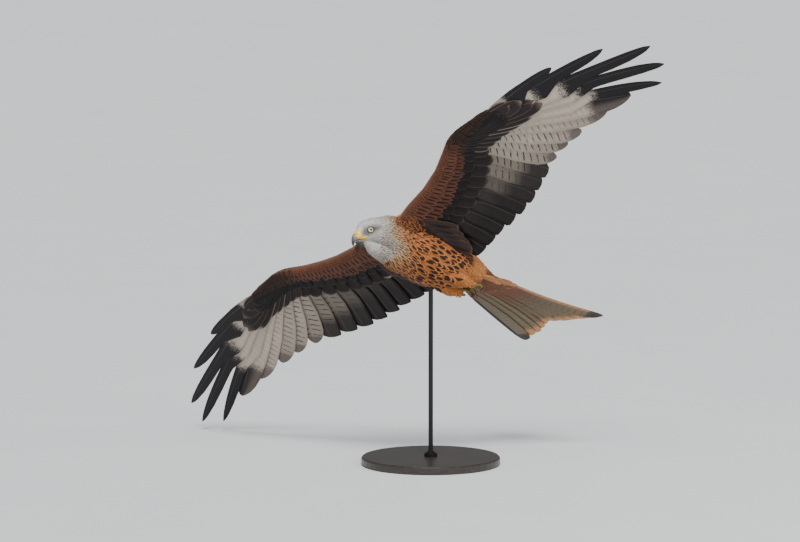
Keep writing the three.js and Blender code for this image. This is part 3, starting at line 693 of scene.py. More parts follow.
def spread(spacing_at):
    """Places all over the skin, no two nearer than their spacing, with the normals and the ways of the feathers there
    and how flat these lie."""
    triangles, points, normals = skin_faces, skin_points, skin_normals
    corners = points[triangles]
    area = np.linalg.norm(np.cross(corners[:, 1] - corners[:, 0], corners[:, 2] - corners[:, 0]), axis=1) / 2
    spacing = spacing_at(corners.mean(1))
    want = np.where(np.isfinite(spacing), area / spacing**2, 0)
    picked = rng.choice(len(triangles), size=int(want.sum() * TRIES), p=want / want.sum())
    u, v = rng.random(len(picked)), rng.random(len(picked))
    over = u + v > 1
    u[over], v[over] = 1 - u[over], 1 - v[over]
    weights = np.stack([1 - u - v, u, v], axis=1)[:, :, None]
    places = (points[triangles[picked]] * weights).sum(1)
    facing = unit((normals[triangles[picked]] * weights).sum(1))
    ways, flat = feather_ways(places, facing)
    keep = thinned(places, ways, spacing[picked])
    return places[keep], facing[keep], ways[keep], flat[keep]


# Feather sizes down the bird: distance from the brow, length, width, spacing, height of the tip over the skin
FEATHER_SIZES = [
    (-15, 4.5, 1.6, 0.8, 1.1),
    (0, 6.5, 2.1, 0.93, 1.3),
    (30, 12, 3.1, 1.35, 1.8),
    (60, 18, 4.4, 2.05, 2.8),
    (85, 25, 6.2, 3.1, 4.0),
    (110, 34, 8.2, 4.6, 4.8),
    (150, 43, 11.5, 6.7, 5.0),
    (215, 39, 11, 6.4, 4.8),
    (250, 28, 8, 3.7, 4.2),
    (285, 22, 5.6, 2.6, 3.6),
    (305, 20, 7, 3.2, 2.2),
    (350, 18, 7, 3.2, 1.6),
]
LENGTHS = (0.88, 1.12)  # of single feathers, against the mean
FAR = 1e3  # mm, past any part of the bird
LOOSE = (274, 303)  # round the vent the feathers' tips stand free of the skin
SHOULDER_SIZE = 0.6  # of the feathers on the front of the shoulder, against those of the breast
EYE_CLEAR = EYE_OPENING + 1.2
BILL_CLEAR = 15  # nothing grows on the skin ahead of this, in the head's frame, beside the bill
CHIN_CLEAR = 25  # and under it


def feather_sizes(points):
    """Length, width, spacing and height."""
    run, _, _, _ = along_spine(points)
    small = mix(1, SHOULDER_SIZE, on_shoulder(points))
    return [between(FEATHER_SIZES, run, k) * small for k in (1, 2, 3)] + [between(FEATHER_SIZES, run, 4)]


def bare(points):
    """True where the body's coat leaves out feathers: at the eyes, under the bill, and along the arm's front edge,
    which its own rows cover."""
    head = placed(HEAD.inverted(), points)
    eye = (np.hypot(head[:, 0], head[:, 2]) < EYE_CLEAR) & (np.abs(head[:, 1]) > EYE_SIDE * 0.7)
    bill = (head[:, 0] > BILL_CLEAR) & (head[:, 2] < 16) & (head[:, 2] > -12)
    chin = (head[:, 0] > CHIN_CLEAR) & (head[:, 2] <= -12) & (head[:, 2] > -17)
    front = (np.abs(points[:, 1]) > ARM_SPAN[0] + 4) & (arm_share(points) < 0.07)
    return eye | bill | chin | front


BILL_AT = (44, 0, 2)  # the feathers of the face point away from this place in the head's frame
FACE_REACH = (30, 72)  # and between these distances from it begin to follow the neck
SWAY = 0.07  # how unevenly neighbours point


def feather_ways(points, normals):
    """The way that each feather points, along the skin, and how near that is to the way it would point in air."""
    _, ways, _, _ = along_spine(points)
    off = points - np.array(HEAD @ Vector(BILL_AT))
    near = 1 - ease(*FACE_REACH, np.linalg.norm(off, axis=1))
    ways = mix(ways, unit(off), near[:, None])
    ways = mix(ways, arm_lie(points), on_arm(points)[:, None])
    ways = ways - normals * (ways * normals).sum(1, keepdims=True)
    flat = np.linalg.norm(ways, axis=1)
    ways = unit(ways)
    across = np.cross(normals, ways)
    sway = rng.normal(0, SWAY, len(points))[:, None]
    return unit(ways + across * sway), flat


def draped(points, heights, limit):
    """Moves points onto the skin and up from it by their heights. Those far from it keep their place."""
    out = np.empty_like(points)
    for i, (p, h) in enumerate(zip(points.tolist(), heights.tolist())):
        at, normal, _, distance = skin_tree.find_nearest(p)
        if distance > limit[i]:
            keep = min(1, (distance - limit[i]) / limit[i])
            at = at.lerp(Vector(p), keep)
        out[i] = at + normal * h
    return out


def laid(template, roots, normals, ways, length, width, high):
    """The points of a feather at each root, close to the skin there and up off it at the tip, and what share of the
    length lies behind each. The tips are frayed."""
    wide = template["side"] * template["half"]
    share = np.repeat(template["share"][None], len(roots), axis=0)
    share = share - rng.uniform(0, 0.07, share.shape) * (share > 0.9)
    plane = roots[:, None] + ways[:, None] * (share * length[:, None])[:, :, None]
    plane = plane + np.cross(ways, normals)[:, None] * (wide[None, :, None] * width[:, None, None] / 2)
    heights = mix(0.15, 1, share**0.8) * high[:, None]
    heights = heights * (1 - 0.3 * (wide**2)[None]) + rng.uniform(0, 0.6, (len(roots), 1)) * share
    run = along_spine(roots)[0]
    loose = (run > LOOSE[0]) & (run < LOOSE[1]) | (trousers(roots) > 0.5) & (roots[:, 0] < THIGH[0][0] - 10)
    limit = np.repeat(np.where(loose, 0.12 * length + 1.5, FAR), len(wide))
    return draped(plane.reshape(-1, 3), heights.ravel(), limit).reshape(plane.shape), share


def feather_marks(points, normals):
    """Ground, mark and edge of each feather, with the streak's width and beginning and the rim's width."""
    ground, mark, edge, streak, begins = plumage(points, normals[:, 2])
    tone = rng.normal(1, 0.07, (len(points), 1))
    warm = rng.normal(0, 0.03, (len(points), 1)) * np.array([[1, 0, -1]])
    ground = np.clip(ground * (tone + warm), 0, 1)
    edge = np.clip(edge * (tone + warm), 0, 1)
    streak = streak * rng.uniform(0.8, 1.2, streak.shape)
    return np.hstack([ground, streak]), np.hstack([mark, begins]), np.hstack([edge, np.full_like(begins, 0.10)])


def coat(name, start, end, outline, across, along, slot):
    """Covers the skin between two places down the bird with feathers, in pieces of a few thousand."""

    def spacing_at(points):
        run = along_spine(points)[0]
        chosen = (run >= start) & (run < end) & (on_arm(points) < 0.5) & ~bare(points)
        return np.where(chosen, feather_sizes(points)[2], np.inf)

    roots, normals, ways, flat = spread(spacing_at)
    length, width, _, high = feather_sizes(roots)
    length = length * rng.uniform(*LENGTHS, len(roots)) * mix(0.4, 1, ease(0.35, 0.85, flat))
    template = vane_template(outline, across, along)
    side = template["side"]
    wide = side * template["half"]
    points, share = laid(template, roots, normals, ways, length, width, high)
    ground, mark, edge = feather_marks(roots, normals)
    place = bake_place(roots, normals[:, 2])
    patch = np.stack([wide / 2, template["share"] - 0.5], axis=1) * PATCH
    faces = template["faces"]
    batch = PIECE_LIMIT // (2 * len(faces))
    for first in range(0, len(roots), batch):
        plumes = Plumes()
        for i in range(first, min(first + batch, len(roots))):
            lie = np.stack([side, share[i] * length[i], share[i]], axis=1)
            plumes.add(points[i], faces, lie, place[i] + patch, ground[i], mark[i], edge[i])
        plumes.build(f"{name}_{first // batch + 1}", CONTOUR)


# Pieces of the coat: where each begins and ends down the bird, outline and cells of a feather, material slot
COATS = [
    ("head_feathers", -FAR, 66, HACKLE_OUTLINE, 2, 6, "head_feathers"),
    ("neck_feathers", 66, 112, HACKLE_OUTLINE, 4, 8, "body_feathers"),
    ("body_feathers", 112, FAR, BODY_OUTLINE, 6, 9, "body_feathers"),
]
# Rows of small coverts on the arm: place across it, then a feather's length, width and step along the span, all as
# shares of the chord there
ARM_ROWS = [
    (0.028, 0.10, 0.075, 0.052),
    (0.045, 0.15, 0.09, 0.064),
    (0.09, 0.36, 0.125, 0.098),
    (0.27, 0.42, 0.135, 0.10),
]
HAND_COLOURS = ("#211a18", "#3f2f29")  # ground and edge
HAND_DARK = (258, 305)  # along the span, where the chestnut of the arm gives way to the dark of the hand
ROW_LIFT = (-1.8, 1.0)  # of a feather's root and tip over the arm's outside
ARM_SPAN = (56, 410)  # where the rows begin and end


def arm_half(x, y):
    """Half of the arm's thickness at a place."""
    chord, thickness = chord_at(y), between(ARM_STATIONS, y, 2)
    t = np.clip((front_at(y) - x) / chord, 0, 1)
    return thickness / 2 * arm_bulge(t)


def arm_covert_colours(face, share, y):
    """Ground, mark and edge of a small covert, darker out on the hand."""
    table = UNDER_ARM if face < 0 else OVER_ARM
    ground, mark, edge, streak, begins = (v[0] for v in marks_at(table, np.array([share + 0.08])))
    shade = rng.normal(1, 0.07)
    on_hand = 0.85 * ease(*HAND_DARK, y + rng.normal(0, 8))
    ground, edge = (mix(c, rgb(h), on_hand) for c, h in zip((ground, edge), HAND_COLOURS))
    return [np.array([*(c * shade), k]) for c, k in ((ground, streak[0]), (mark, begins[0]), (edge, 0.08))]


def arm_covert(plumes, template, side, face, share, sizes, y):
    """One small covert, rooted this share of the chord behind the leading edge. Returns the step to the next."""
    across, half, faces = template["side"], template["half"], template["faces"]
    chord = float(chord_at(y))
    length, width, step = (chord * k for k in sizes)
    root = np.array([float(front_at(y)) - share * chord, y])
    way = unit(arm_lie(np.array([[root[0], y, 0.0]]))[0, :2] + rng.normal(0, 0.05, 2))
    beside = np.array([way[1], -way[0]])
    long = length * rng.uniform(0.9, 1.12)
    down = template["share"] - rng.uniform(0, 0.06, len(across)) * (template["share"] > 0.9)
    at = root + way * (down * long)[:, None] + beside * (across * half * width / 2)[:, None]
    lift = arm_half(at[:, 0], at[:, 1]) + mix(*ROW_LIFT, down) - 0.6 * (across * half) ** 2
    points = on_wing(at[:, 0], at[:, 1], face * (lift + rng.uniform(0, 0.4))) * (1, side, 1)
    lie = np.stack([across, down * long, down], axis=1)
    corner = bake_place(np.array([[root[0], y * side, 0.0]]), np.array([float(face)]))[0]
    patch = corner + np.stack([across * half / 2, template["share"] - 0.5], axis=1) * PATCH
    faces = faces if face * side > 0 else faces[:, ::-1]
    plumes.add(points, faces, lie, patch, *arm_covert_colours(face, share, y))
    return step


def arm_coverts(name, side, material):
    """The small coverts under and over one arm, row by row, like tiles."""
    template = vane_template(BODY_OUTLINE, 4, 8)
    plumes = Plumes()
    for face in (-1, 1):
        for share, *sizes in ARM_ROWS:
            y = ARM_SPAN[0] + rng.uniform(0, 3)
            while y < ARM_SPAN[1]:
                step = arm_covert(plumes, template, side, face, share + 0.03 * (face > 0), sizes, y)
                y += step * rng.uniform(0.9, 1.1)
    return plumes.build(name, material)


# Large vanes of wings and tail, each a thin closed solid
def rim_of(faces):
    """The corners round the edge of a grid, in order."""
    edges = dict.fromkeys((a, b) for face in faces for a, b in zip(face, np.roll(face, -1)))
    border = {a: b for a, b in edges if (b, a) not in edges}
    start = next(iter(border))
    loop = [start]
    while border[loop[-1]] != start:
        loop.append(border[loop[-1]])
    return np.array(loop)


def thick_template(across, along):
    """A closed vane of even width, both faces and the rim, with the face of each point: 1 above, -1 below."""
    flat = vane_template([(0, 1), (1, 1)], across, along)
    count = len(flat["side"])
    rim = rim_of(flat["faces"])
    walls = np.stack([np.roll(rim, -1), rim, rim + count, np.roll(rim, -1) + count], axis=1)
    flat["faces"] = np.concatenate([flat["faces"], flat["faces"][:, ::-1] + count, walls])
    flat["face"] = np.repeat([1, -1], count)
    flat["side"], flat["share"] = np.tile(flat["side"], 2), np.tile(flat["share"], 2)
    return flat


LONG_VANE = thick_template(8, 40)
SHORT_VANE = thick_template(6, 14)


def on_wing(x, y, height):
    return np.stack([x, y, wing_height(x, y) + height], axis=1)


def on_tail(x, y, height):
    return placed(TAIL, np.stack([x, y, height], axis=1))


def vane(plumes, template, place, root, tip, profile, marks, bake, ahead=1, side=1, **shape):
    """One vane from root to tip. The profile gives half widths ahead of the shaft and behind it by share of the
    length; shape gives its lift, tilt, rise, bow, arch and thickness."""
    share, across, face = template["share"], template["side"], template["face"]
    root, tip = np.array(root, float), np.array(tip, float)
    length = np.linalg.norm(tip - root)
    way = (tip - root) / length
    beside = np.array([way[1], -way[0]]) * ahead
    keys, fronts, backs = zip(*profile)
    off = np.where(across > 0, np.interp(share, keys, fronts), np.interp(share, keys, backs)) * across
    bow = shape.get("bow", 0) * 4 * share * (1 - share)
    at = root + way * (share * length)[:, None] + beside * (off + bow)[:, None]
    widest = max(max(fronts), max(backs))
    height = shape.get("lift", 0) + shape.get("tilt", 0) * off - shape.get("arch", 0) * (off / widest) ** 2
    height = height + shape.get("rise", 0) * np.maximum(0, (share - 0.5) / 0.5) ** 2
    height = height + face * shape.get("thickness", 0.5) / 2 * (1 - 0.6 * share)
    points = place(at[:, 0], at[:, 1], height)
    faces = template["faces"]
    if side < 0:
        points = points * (1, -1, 1)
        faces = faces[:, ::-1]
    if ahead < 0:
        faces = faces[:, ::-1]
    lie = np.stack([across, share * length, share], axis=1)
    patch = np.stack([bake[0] + bake[2] * (across + 1) / 2, bake[1] + bake[3] * share], axis=1)
    patch[:, 0] += np.where(face < 0, bake[2] * 1.05, 0)
    ground, mark, edge = marks(share, across, face)
    plumes.add(points, faces, lie, patch, ground, mark, edge)


def rows_for(hexes, shares, at):
    colours = np.array([rgb(h) for h in hexes])
    return np.stack([np.interp(at, shares, colours[:, k]) for k in range(3)], axis=1)


def with_share(colours, value):
    return np.hstack([np.clip(colours, 0, 1), np.broadcast_to(np.reshape(value, (-1, 1)), (len(colours), 1))])


INNER_PRIMARIES = 5  # those whose tips don't stand free as fingers
# How far along each primary its white base reaches, and how strong its bars are, from the wrist out
WHITE_TO = [0.90, 0.90, 0.89, 0.87, 0.74, 0.64, 0.54, 0.49, 0.44, 0.38]
PRIMARY_BARS = [1, 1, 0.9, 0.6, 0.2, 0, 0, 0, 0, 0]


def flight_marks(index):
    """Markings of a flight feather, by its place from the innermost secondary out: under, then over."""
    primary = index - SECONDARIES
    shade = rng.normal(1, 0.05)

    def marks(share, across, face):
        under = face < 0
        if primary >= 0:
            inner = np.clip(primary / 5, 0, 1)
            low = rows_for(["#7d7267", "#a5998c", "#b3a698", "#9c8f82"], [0, 0.25, 0.55, 1], share)
            low = low * mix(0.84, 1.18, inner)
            beyond = rgb("#6a5f59") if primary < 4 else rgb("#1a171a")
            if primary == 4:
                beyond = mix(beyond, rgb("#5a504b"), ease(-0.1, -0.7, across)[:, None])
            bars, border = PRIMARY_BARS[primary], WHITE_TO[primary]
            if primary > 3:
                front = ease(0.1, 0.5, across)[:, None]
                low = mix(low, rgb("#8f8580"), front * 0.6)
            high = rows_for(["#8a7a68", "#5d5048", "#2a2424"], [0, 0.35, 0.6], share)
            high_beyond = rgb("#231f20")
        else:
            outer = ease(3.5, 7, index)
            base = mix(rgb("#2b2322"), rgb("#83796d"), outer)
            dark = mix(rgb("#1d1717"), rgb("#332c2a"), outer)
            low = mix(base, dark, ease(mix(0.4, 0.6, outer), mix(0.7, 0.84, outer), share)[:, None])
            beyond = mix(rgb("#1d1717"), rgb("#2f2826"), outer)
            bars, border = mix(0.25, 1.0, float(outer)), 0.88
            high = rows_for(["#5a4738", "#3a2d26", "#2b2221"], [0, 0.5, 1], share)
            high_beyond = rgb("#251e1d")
        ground = np.where(under[:, None], low, high) * shade
        bar = np.where(under, bars, 0.55 * (share < 0.8))
        mark = np.where(under[:, None], rgb("#2b2627"), rgb("#1d1918"))
        tip = np.where(under[:, None], beyond, high_beyond) * shade
        edge = np.where(under, border, 0.72)
        return with_share(ground, bar), with_share(mark, 0.0), with_share(tip, edge)

    return marks


def covert_marks(under, over, streak=0.12, edge_width=0.05):
    """Markings of a covert: ground, mark and edge colours below and above."""
    shade = rng.normal(1, 0.07)

    def marks(share, across, face):
        low = (face < 0)[:, None]
        ground, mark, edge = (np.where(low, rgb(a), rgb(b)) * shade for a, b in zip(under, over))
        return with_share(ground, streak), with_share(mark, 0.3), with_share(edge, edge_width)

    return marks


ROUND_END = [(0.84, 0.94, 0.94), (0.91, 0.85, 0.87), (0.96, 0.64, 0.7), (0.985, 0.42, 0.46), (1, 0.14, 0.14)]
SLANT_END = [(0.8, 1, 0.94), (0.88, 0.98, 0.76), (0.94, 0.9, 0.52), (0.98, 0.66, 0.26), (1, 0.3, 0.06)]
BLUNT_END = [(0.86, 0.97, 0.96), (0.93, 0.9, 0.93), (0.97, 0.72, 0.84), (0.99, 0.5, 0.64), (1, 0.2, 0.3)]
FINGER_END = [(0.78, 0.95, 0.93), (0.88, 0.82, 0.76), (0.95, 0.58, 0.48), (0.985, 0.34, 0.26), (1, 0.1, 0.06)]


def flight_profile(front, back, end, start=0.55, finger_front=None, finger_back=None):
    """Half widths of a long vane ahead of its shaft and behind it, by share of the length. It narrows past `start`
    where the feather stands free as a finger."""
    finger_front = front if finger_front is None else finger_front
    finger_back = back if finger_back is None else finger_back
    turn = min(start + 0.13, 0.76)
    rows = [(0, front * 0.25, back * 0.1), (start * 0.5, front * 0.9, back * 0.7), (start, front, back)]
    rows.append((turn, finger_front, finger_back))
    return rows + [(share, finger_front * a, finger_back * b) for share, a, b in end]


def covert_profile(front, back):
    rows = [(0, front * 0.4, back * 0.4), (0.35, front * 0.85, back * 0.85), (0.65, front, back)]
    for t in (0.3, 0.55, 0.75, 0.9, 1):
        narrowed = math.sqrt(1.01 - t**2.4)
        rows.append((0.65 + 0.35 * t, front * narrowed, back * narrowed))
    return rows


def bake_cells(count, columns, wide=0.43, high=0.94):
    """Places on the bake map for so many vanes: left, low, width and height of each."""
    rows = -(-count // columns)
    step_x, step_y = 0.96 / columns, 0.96 / rows
    return [
        (0.02 + step_x * (i % columns), 0.02 + step_y * (i // columns), step_x * wide, step_y * high)
        for i in range(count)
    ]


def flight_feathers(name, side, material):
    plumes = Plumes()
    cells = bake_cells(len(QUILLS), 6)
    for i, (x, y, tip_x, tip_y, z) in enumerate(QUILLS):
        primary = i - SECONDARIES
        shape = {"tilt": 0.1, "bow": 6, "arch": 1.2, "thickness": 0.6}
        shape["rise"] = 0 if z is None else z - float(wing_height(tip_x, tip_y))
        if primary < 0:
            profile = flight_profile(20, 32, BLUNT_END)
            shape.update(tilt=0.06, bow=5)
        elif primary < INNER_PRIMARIES:
            profile = flight_profile(15, 33, SLANT_END)
        else:
            profile = flight_profile(9, 32, FINGER_END, start=0.5, finger_front=8, finger_back=15)
        ends = ((x, y), (tip_x, tip_y))
        vane(plumes, LONG_VANE, on_wing, *ends, profile, flight_marks(i), cells[i], side=side, **shape)
    return plumes.build(name, material)


# Tiers of coverts: how many, how far ahead of the quills' roots they start, how far past the roots they reach and
# how wide they are from the innermost secondary to the outermost primary, height off the quills
REACH_SHARES = (0, 0.4, 0.47, 0.59, 0.7, 0.76, 0.82, 0.88, 0.94, 1)
UNDER_GREATER = {"count": 19, "start": 14, "reach": (62, 66, 62, 79, 118, 158, 176, 150, 112, 70), "width": (36, 32)}
UNDER_MEDIAN = {"count": 21, "start": 22, "reach": (30, 32, 32, 40, 60, 84, 98, 84, 60, 36), "width": (27, 25)}
OVER_GREATER = {"count": 22, "start": 14, "reach": (74, 80, 84, 96, 110, 112, 112, 108, 100, 84), "width": (34, 24)}
OVER_MEDIAN = {"count": 26, "start": 22, "reach": (44, 46, 46, 52, 62, 66, 66, 62, 56, 48), "width": (28, 20)}
UNDER_GREATER_MARKS = [("#241c1c", "#171415", "#40352f"), ("#2a2323", "#1a1617", "#5c5148")]
UNDER_MEDIAN_MARKS = [("#191415", "#121011", "#2b2220"), ("#1a1617", "#121011", "#2f2624")]
PALE_TIPS = (0.16, "#9a8d80")  # how many greater coverts below have a worn pale edge, and its colour
OVER_GREATER_MARKS = [("#4b3729", "#261c17", "#8d6b4b"), ("#2b2322", "#181413", "#3d302b")]
OVER_MEDIAN_MARKS = [("#8f6f4e", "#3a2a20", "#bd9a70"), ("#332924", "#1b1614", "#594334")]
TIERS = {
    -1: [(UNDER_GREATER, 4.6, UNDER_GREATER_MARKS), (UNDER_MEDIAN, 7.4, UNDER_MEDIAN_MARKS)],
    1: [(OVER_GREATER, 4.6, OVER_GREATER_MARKS), (OVER_MEDIAN, 7.4, OVER_MEDIAN_MARKS)],
}


def covert_tier(plumes, tier, face, lift, tiers_marks, side, cells):
    """One tier of coverts over the quills of a wing, above, 1, or below, -1."""
    for i in range(tier["count"]):
        share = (i + 0.5) / tier["count"]
        root, tip = quill_at(share)
        way = (tip - root) / np.linalg.norm(tip - root)
        reach = float(np.interp(share, REACH_SHARES, tier["reach"])) * rng.uniform(0.96, 1.05)
        width = mix(*tier["width"], share)
        inner, outer = tiers_marks
        colours = outer if share > 0.5 + rng.normal(0, 0.02) else inner
        if face < 0 and tier is UNDER_GREATER and rng.random() < PALE_TIPS[0]:
            colours = (*colours[:2], PALE_TIPS[1])
        marks = covert_marks(colours, colours)
        layer = 0.5 * (i % 2)
        shape = {"tilt": 0.08, "arch": 1.0, "lift": face * (lift * mix(1, 0.72, share) + layer), "thickness": 0.4}
        ends = (root - way * tier["start"], root + way * reach)
        profile = covert_profile(width * 0.45, width * 0.55)
        vane(plumes, SHORT_VANE, on_wing, *ends, profile, marks, cells[i], side=side, **shape)


def coverts(name, side, face, material):
    plumes = Plumes()
    cells = bake_cells(sum(tier["count"] for tier, _, _ in TIERS[face]), 9)
    for tier, lift, marks in TIERS[face]:
        covert_tier(plumes, tier, face, lift, marks, side, cells)
        cells = cells[tier["count"] :]
    return plumes.build(name, material)


ALULA = ((84, 312), (80, 404), (-5, -12), 7.5)  # thumb feathers: root, tip, step from one to the next, height
ALULA_MARKS = [("#2c2627", "#1a1617", "#57494a"), ("#241f1f", "#161313", "#40352f")]
# Long feathers of the armpit, under the wing's root: root, tip, width
AXILLARIES = [
    ((20, 74), (-60, 96), 26),
    ((4, 76), (-84, 108), 28),
    ((-12, 72), (-106, 98), 29),
    ((-30, 70), (-128, 90), 29),
    ((-50, 68), (-140, 84), 28),
    ((-70, 66), (-144, 78), 24),
]
AXILLARY_MARKS = ("#2f2521", "#1b1513", "#503a2b")
# Feathers over the wing's root that close the gap behind the shoulder, on the back
TERTIALS = [
    ((-30, 62), (-150, 66), 40),
    ((-26, 72), (-156, 84), 38),
    ((-22, 84), (-158, 102), 36),
    ((0, 66), (-112, 72), 38),
    ((4, 84), (-110, 98), 34),
]
TERTIAL_MARKS = ("#4a3527", "#261a15", "#8f6240")


def wing_extras(name, side, material):
    """Thumb feathers, axillaries and tertials."""
    plumes = Plumes()
    root, tip, step, lift = ALULA
    cells = iter(bake_cells(3 + len(AXILLARIES) + len(TERTIALS), 4))
    for i in range(3):
        ends = ((root[0] - 3 * i, root[1] - 3 * i), (tip[0] + step[0] * i, tip[1] + step[1] * i))
        marks = covert_marks(*ALULA_MARKS)
        shape = {"lift": lift + 1.4 * i, "tilt": 0.05, "thickness": 0.4}
        vane(plumes, SHORT_VANE, on_wing, *ends, covert_profile(7, 12), marks, next(cells), side=side, **shape)
    below = {"arch": -3, "rise": 7, "tilt": 0.04, "thickness": 0.4}
    above = {"arch": 3, "tilt": 0.04, "thickness": 0.4}
    for table, colours, edge_width, lift, step, shape in (
        (AXILLARIES, AXILLARY_MARKS, 0.06, -15, -1.1, below),
        (TERTIALS, TERTIAL_MARKS, 0.14, 5, 1.2, above),
    ):
        for i, (*ends, width) in enumerate(table):
            marks = covert_marks(colours, colours, streak=0.3, edge_width=edge_width)
            profile = covert_profile(width / 2, width / 2)
            shape["lift"] = lift + step * i
            vane(plumes, SHORT_VANE, on_wing, *ends, profile, marks, next(cells), side=side, **shape)
    return plumes.build(name, material)


# Tail feathers from root to tip: below, on the right and on the rest, and above. Below, the rest's browner base is
# partly painted shadow of the body
TAIL_RIGHT = ["#745039", "#6f6450", "#736852", "#7f7059"]
TAIL_REST = ["#7a4c32", "#70452f", "#6d5d47", "#7d6b52"]
TAIL_ABOVE = ["#a8552a", "#b05c2d", "#a85a31"]
TAIL_TIP_FROM = 0.89  # how far along a feather the colour of its tip begins


def tail_marks(share_across):
    """Markings of a tail feather, from the right, -1, to the left, 1, with painted light and shade on the outer web of
    the outermost ones below.
    """
    outer = abs(share_across)
    outermost = outer > 0.95
    shade = rng.normal(1, 0.03)

    def marks(share, across, face):
        low = rows_for(TAIL_REST if share_across > -0.5 else TAIL_RIGHT, [0.1, 0.3, 0.52, 1], share)
        high = rows_for(TAIL_ABOVE, [0, 0.6, 1], share)
        outside = ease(-0.02, 0.1, across)[:, None] if outermost else 0
        # painted light and shade below: the outermost feather's outer web pale orange on the lit left, near black on
        # the shaded right
        low = mix(low, rgb("#bd8a60") if share_across > 0 else rgb("#1d1a1b"), outside)
        high = mix(high, rgb("#5a3220"), outside)
        under = (face < 0)[:, None]
        ground = np.where(under, low, high) * shade
        tip = np.where(under, rgb("#3a2f2b" if outermost else "#c98f5e"), rgb("#6b3a20"))
        bars = np.where(face < 0, 0.3 + 0.25 * outer + 0.45 * ease(0.72, 0.86, share), 0.25 + 0.35 * outer)
        mark = np.where(under, rgb("#4b3c30"), rgb("#54301d"))
        return with_share(ground, bars), with_share(mark, 0.0), with_share(tip, TAIL_TIP_FROM)

    return marks


def tail_feathers(name, material):
    plumes = Plumes()
    cells = bake_cells(TAIL_FEATHERS, 4)
    for i in range(TAIL_FEATHERS):
        share = 2 * i / (TAIL_FEATHERS - 1) - 1
        side = 1 if share > 0 else -1
        turn = share * TAIL_SPREAD
        length = mix(*TAIL_LENGTH, abs(share) ** 1.4) * rng.uniform(0.985, 1.01)
        middle = abs(share) < 0.1
        lift = (2.8 if side > 0 else 1.5) if middle else 0
        profile = flight_profile(mix(15, 10, abs(share)), 28, ROUND_END)
        bow = -18 * share**2 if share > 0 else 0
        shape = {"lift": lift, "tilt": 0 if middle else 0.07, "bow": bow, "arch": 0.8, "thickness": 0.6}
        tip = (-length * math.cos(turn), length * math.sin(turn) - share * 3)
        root = (6 + 6 * abs(share), share * mix(TAIL_ROOT_WIDTH - 6, 50, abs(share)))
        vane(plumes, LONG_VANE, on_tail, root, tip, profile, tail_marks(share), cells[i], ahead=side, **shape)
    return plumes.build(name, material)


# Soft coverts over and under the tail's root: how many, reach in the middle and at the sides, width, height, colours
TAIL_COVERTS = [
    (21, (58, 40), 19, 1.8, ("#69442f", "#563626", "#765038")),
    (20, (42, 28), 18, 3.0, ("#6c4530", "#563626", "#795239")),
    (19, (28, 14), 17, 4.2, ("#704831", "#563626", "#7e563c")),
]
TAIL_COVERTS_OVER = ("#9c4f27", "#6f3b20", "#b56c3b")
TAIL_COVERTS_LIT_SIDE = ("#b27a50", "#8f5f3d", "#c08a60")  # the outermost ones on the left, below: paler, as painted light


def tail_coverts(name, material):
    plumes = Plumes()
    cells = bake_cells(2 * sum(row[0] for row in TAIL_COVERTS), 12)
    for face in (1, -1):
        for count, reach, width, lift, under in TAIL_COVERTS:
            for i in range(count):
                share = 2 * i / (count - 1) - 1
                turn = share * TAIL_SPREAD * 1.05
                length = mix(*reach, abs(share)) * rng.uniform(*LENGTHS) * (1.3 if face > 0 else 1)
                below = TAIL_COVERTS_LIT_SIDE if share > 0.78 else under
                marks = covert_marks(below, TAIL_COVERTS_OVER, streak=0.03, edge_width=0.16)
                shape = {"arch": face * 1.2, "rise": -face * lift * 0.6, "thickness": 0.4}
                shape["lift"] = face * (lift + 0.5 * (i % 2) - 2 * share**2)
                tip = (-length * math.cos(turn), length * math.sin(turn) + share * mix(10, 40, share**2))
                ends = ((14 + 18 * share**2, share * 30), tip)
                profile = covert_profile(width / 2, width / 2)
                vane(plumes, SHORT_VANE, on_tail, *ends, profile, marks, cells.pop(), **shape)
    return plumes.build(name, material)


# Materials
STREAK_END = 0.94  # how far along a vane the dark drop down its middle ends
BAR_PITCH = 14.5  # mm from one dark bar of a flight feather to the next
BARB_PITCH = {"contour": 0.9, "flight": 1.1}  # mm; the real ones lie 0.4 mm apart and wouldn't show


def surface(name, constants):
    """A new material with these numbers on its Principled shader, its node tree and that shader."""
    material = bpy.data.materials.new(name)
    material.use_nodes = True
    shader = material.node_tree.nodes["Principled BSDF"]
    for socket, value in constants.items():
        shader.inputs[socket].default_value = value
    return material, material.node_tree, shader


def add(tree, kind, inputs=None, out=0, **settings):
    """Adds a node with its settings, and gives its inputs values or links. Returns one of its outputs."""
    made = tree.nodes.new("ShaderNode" + kind)
    for key, value in settings.items():
        setattr(made, key, value)
    for key, value in (inputs or {}).items():
        if isinstance(value, bpy.types.NodeSocket):
            tree.links.new(value, made.inputs[key])
        else:
            made.inputs[key].default_value = value
    return made.outputs[out]


def colour(hex_colour):
    return (*rgb(hex_colour), 1)


def calc(tree, operation, *values):
    return add(tree, "Math", dict(enumerate(values)), operation=operation)


def soft(tree, value, low, high, least=0.0, most=1.0):
    """From least at low to most at high, smooth between."""
    return add(tree, "MapRange", {0: value, 1: low, 2: high, 3: least, 4: most}, interpolation_type="SMOOTHSTEP")


def noise(tree, scale, detail, where=None, **inputs):
    """Noise over the object's own coordinates, or over a place that is given."""
    where = add(tree, "TexCoord", out="Object") if where is None else where
    return add(tree, "TexNoise", {"Vector": where, "Scale": scale, "Detail": detail, **inputs})


def blend(tree, share, one, other, **settings):
    return add(tree, "Mix", {0: share, 6: one, 7: other}, data_type="RGBA", out=2, **settings)


def dress(tree, shader, base, height=None, distance=0.0002, strength=0.5):
    """Links a colour to the shader, and a bump by a height."""
    tree.links.new(base, shader.inputs["Base Color"])
    if height:
        bump = add(tree, "Bump", {"Height": height, "Distance": distance, "Strength": strength})
        tree.links.new(bump, shader.inputs["Normal"])


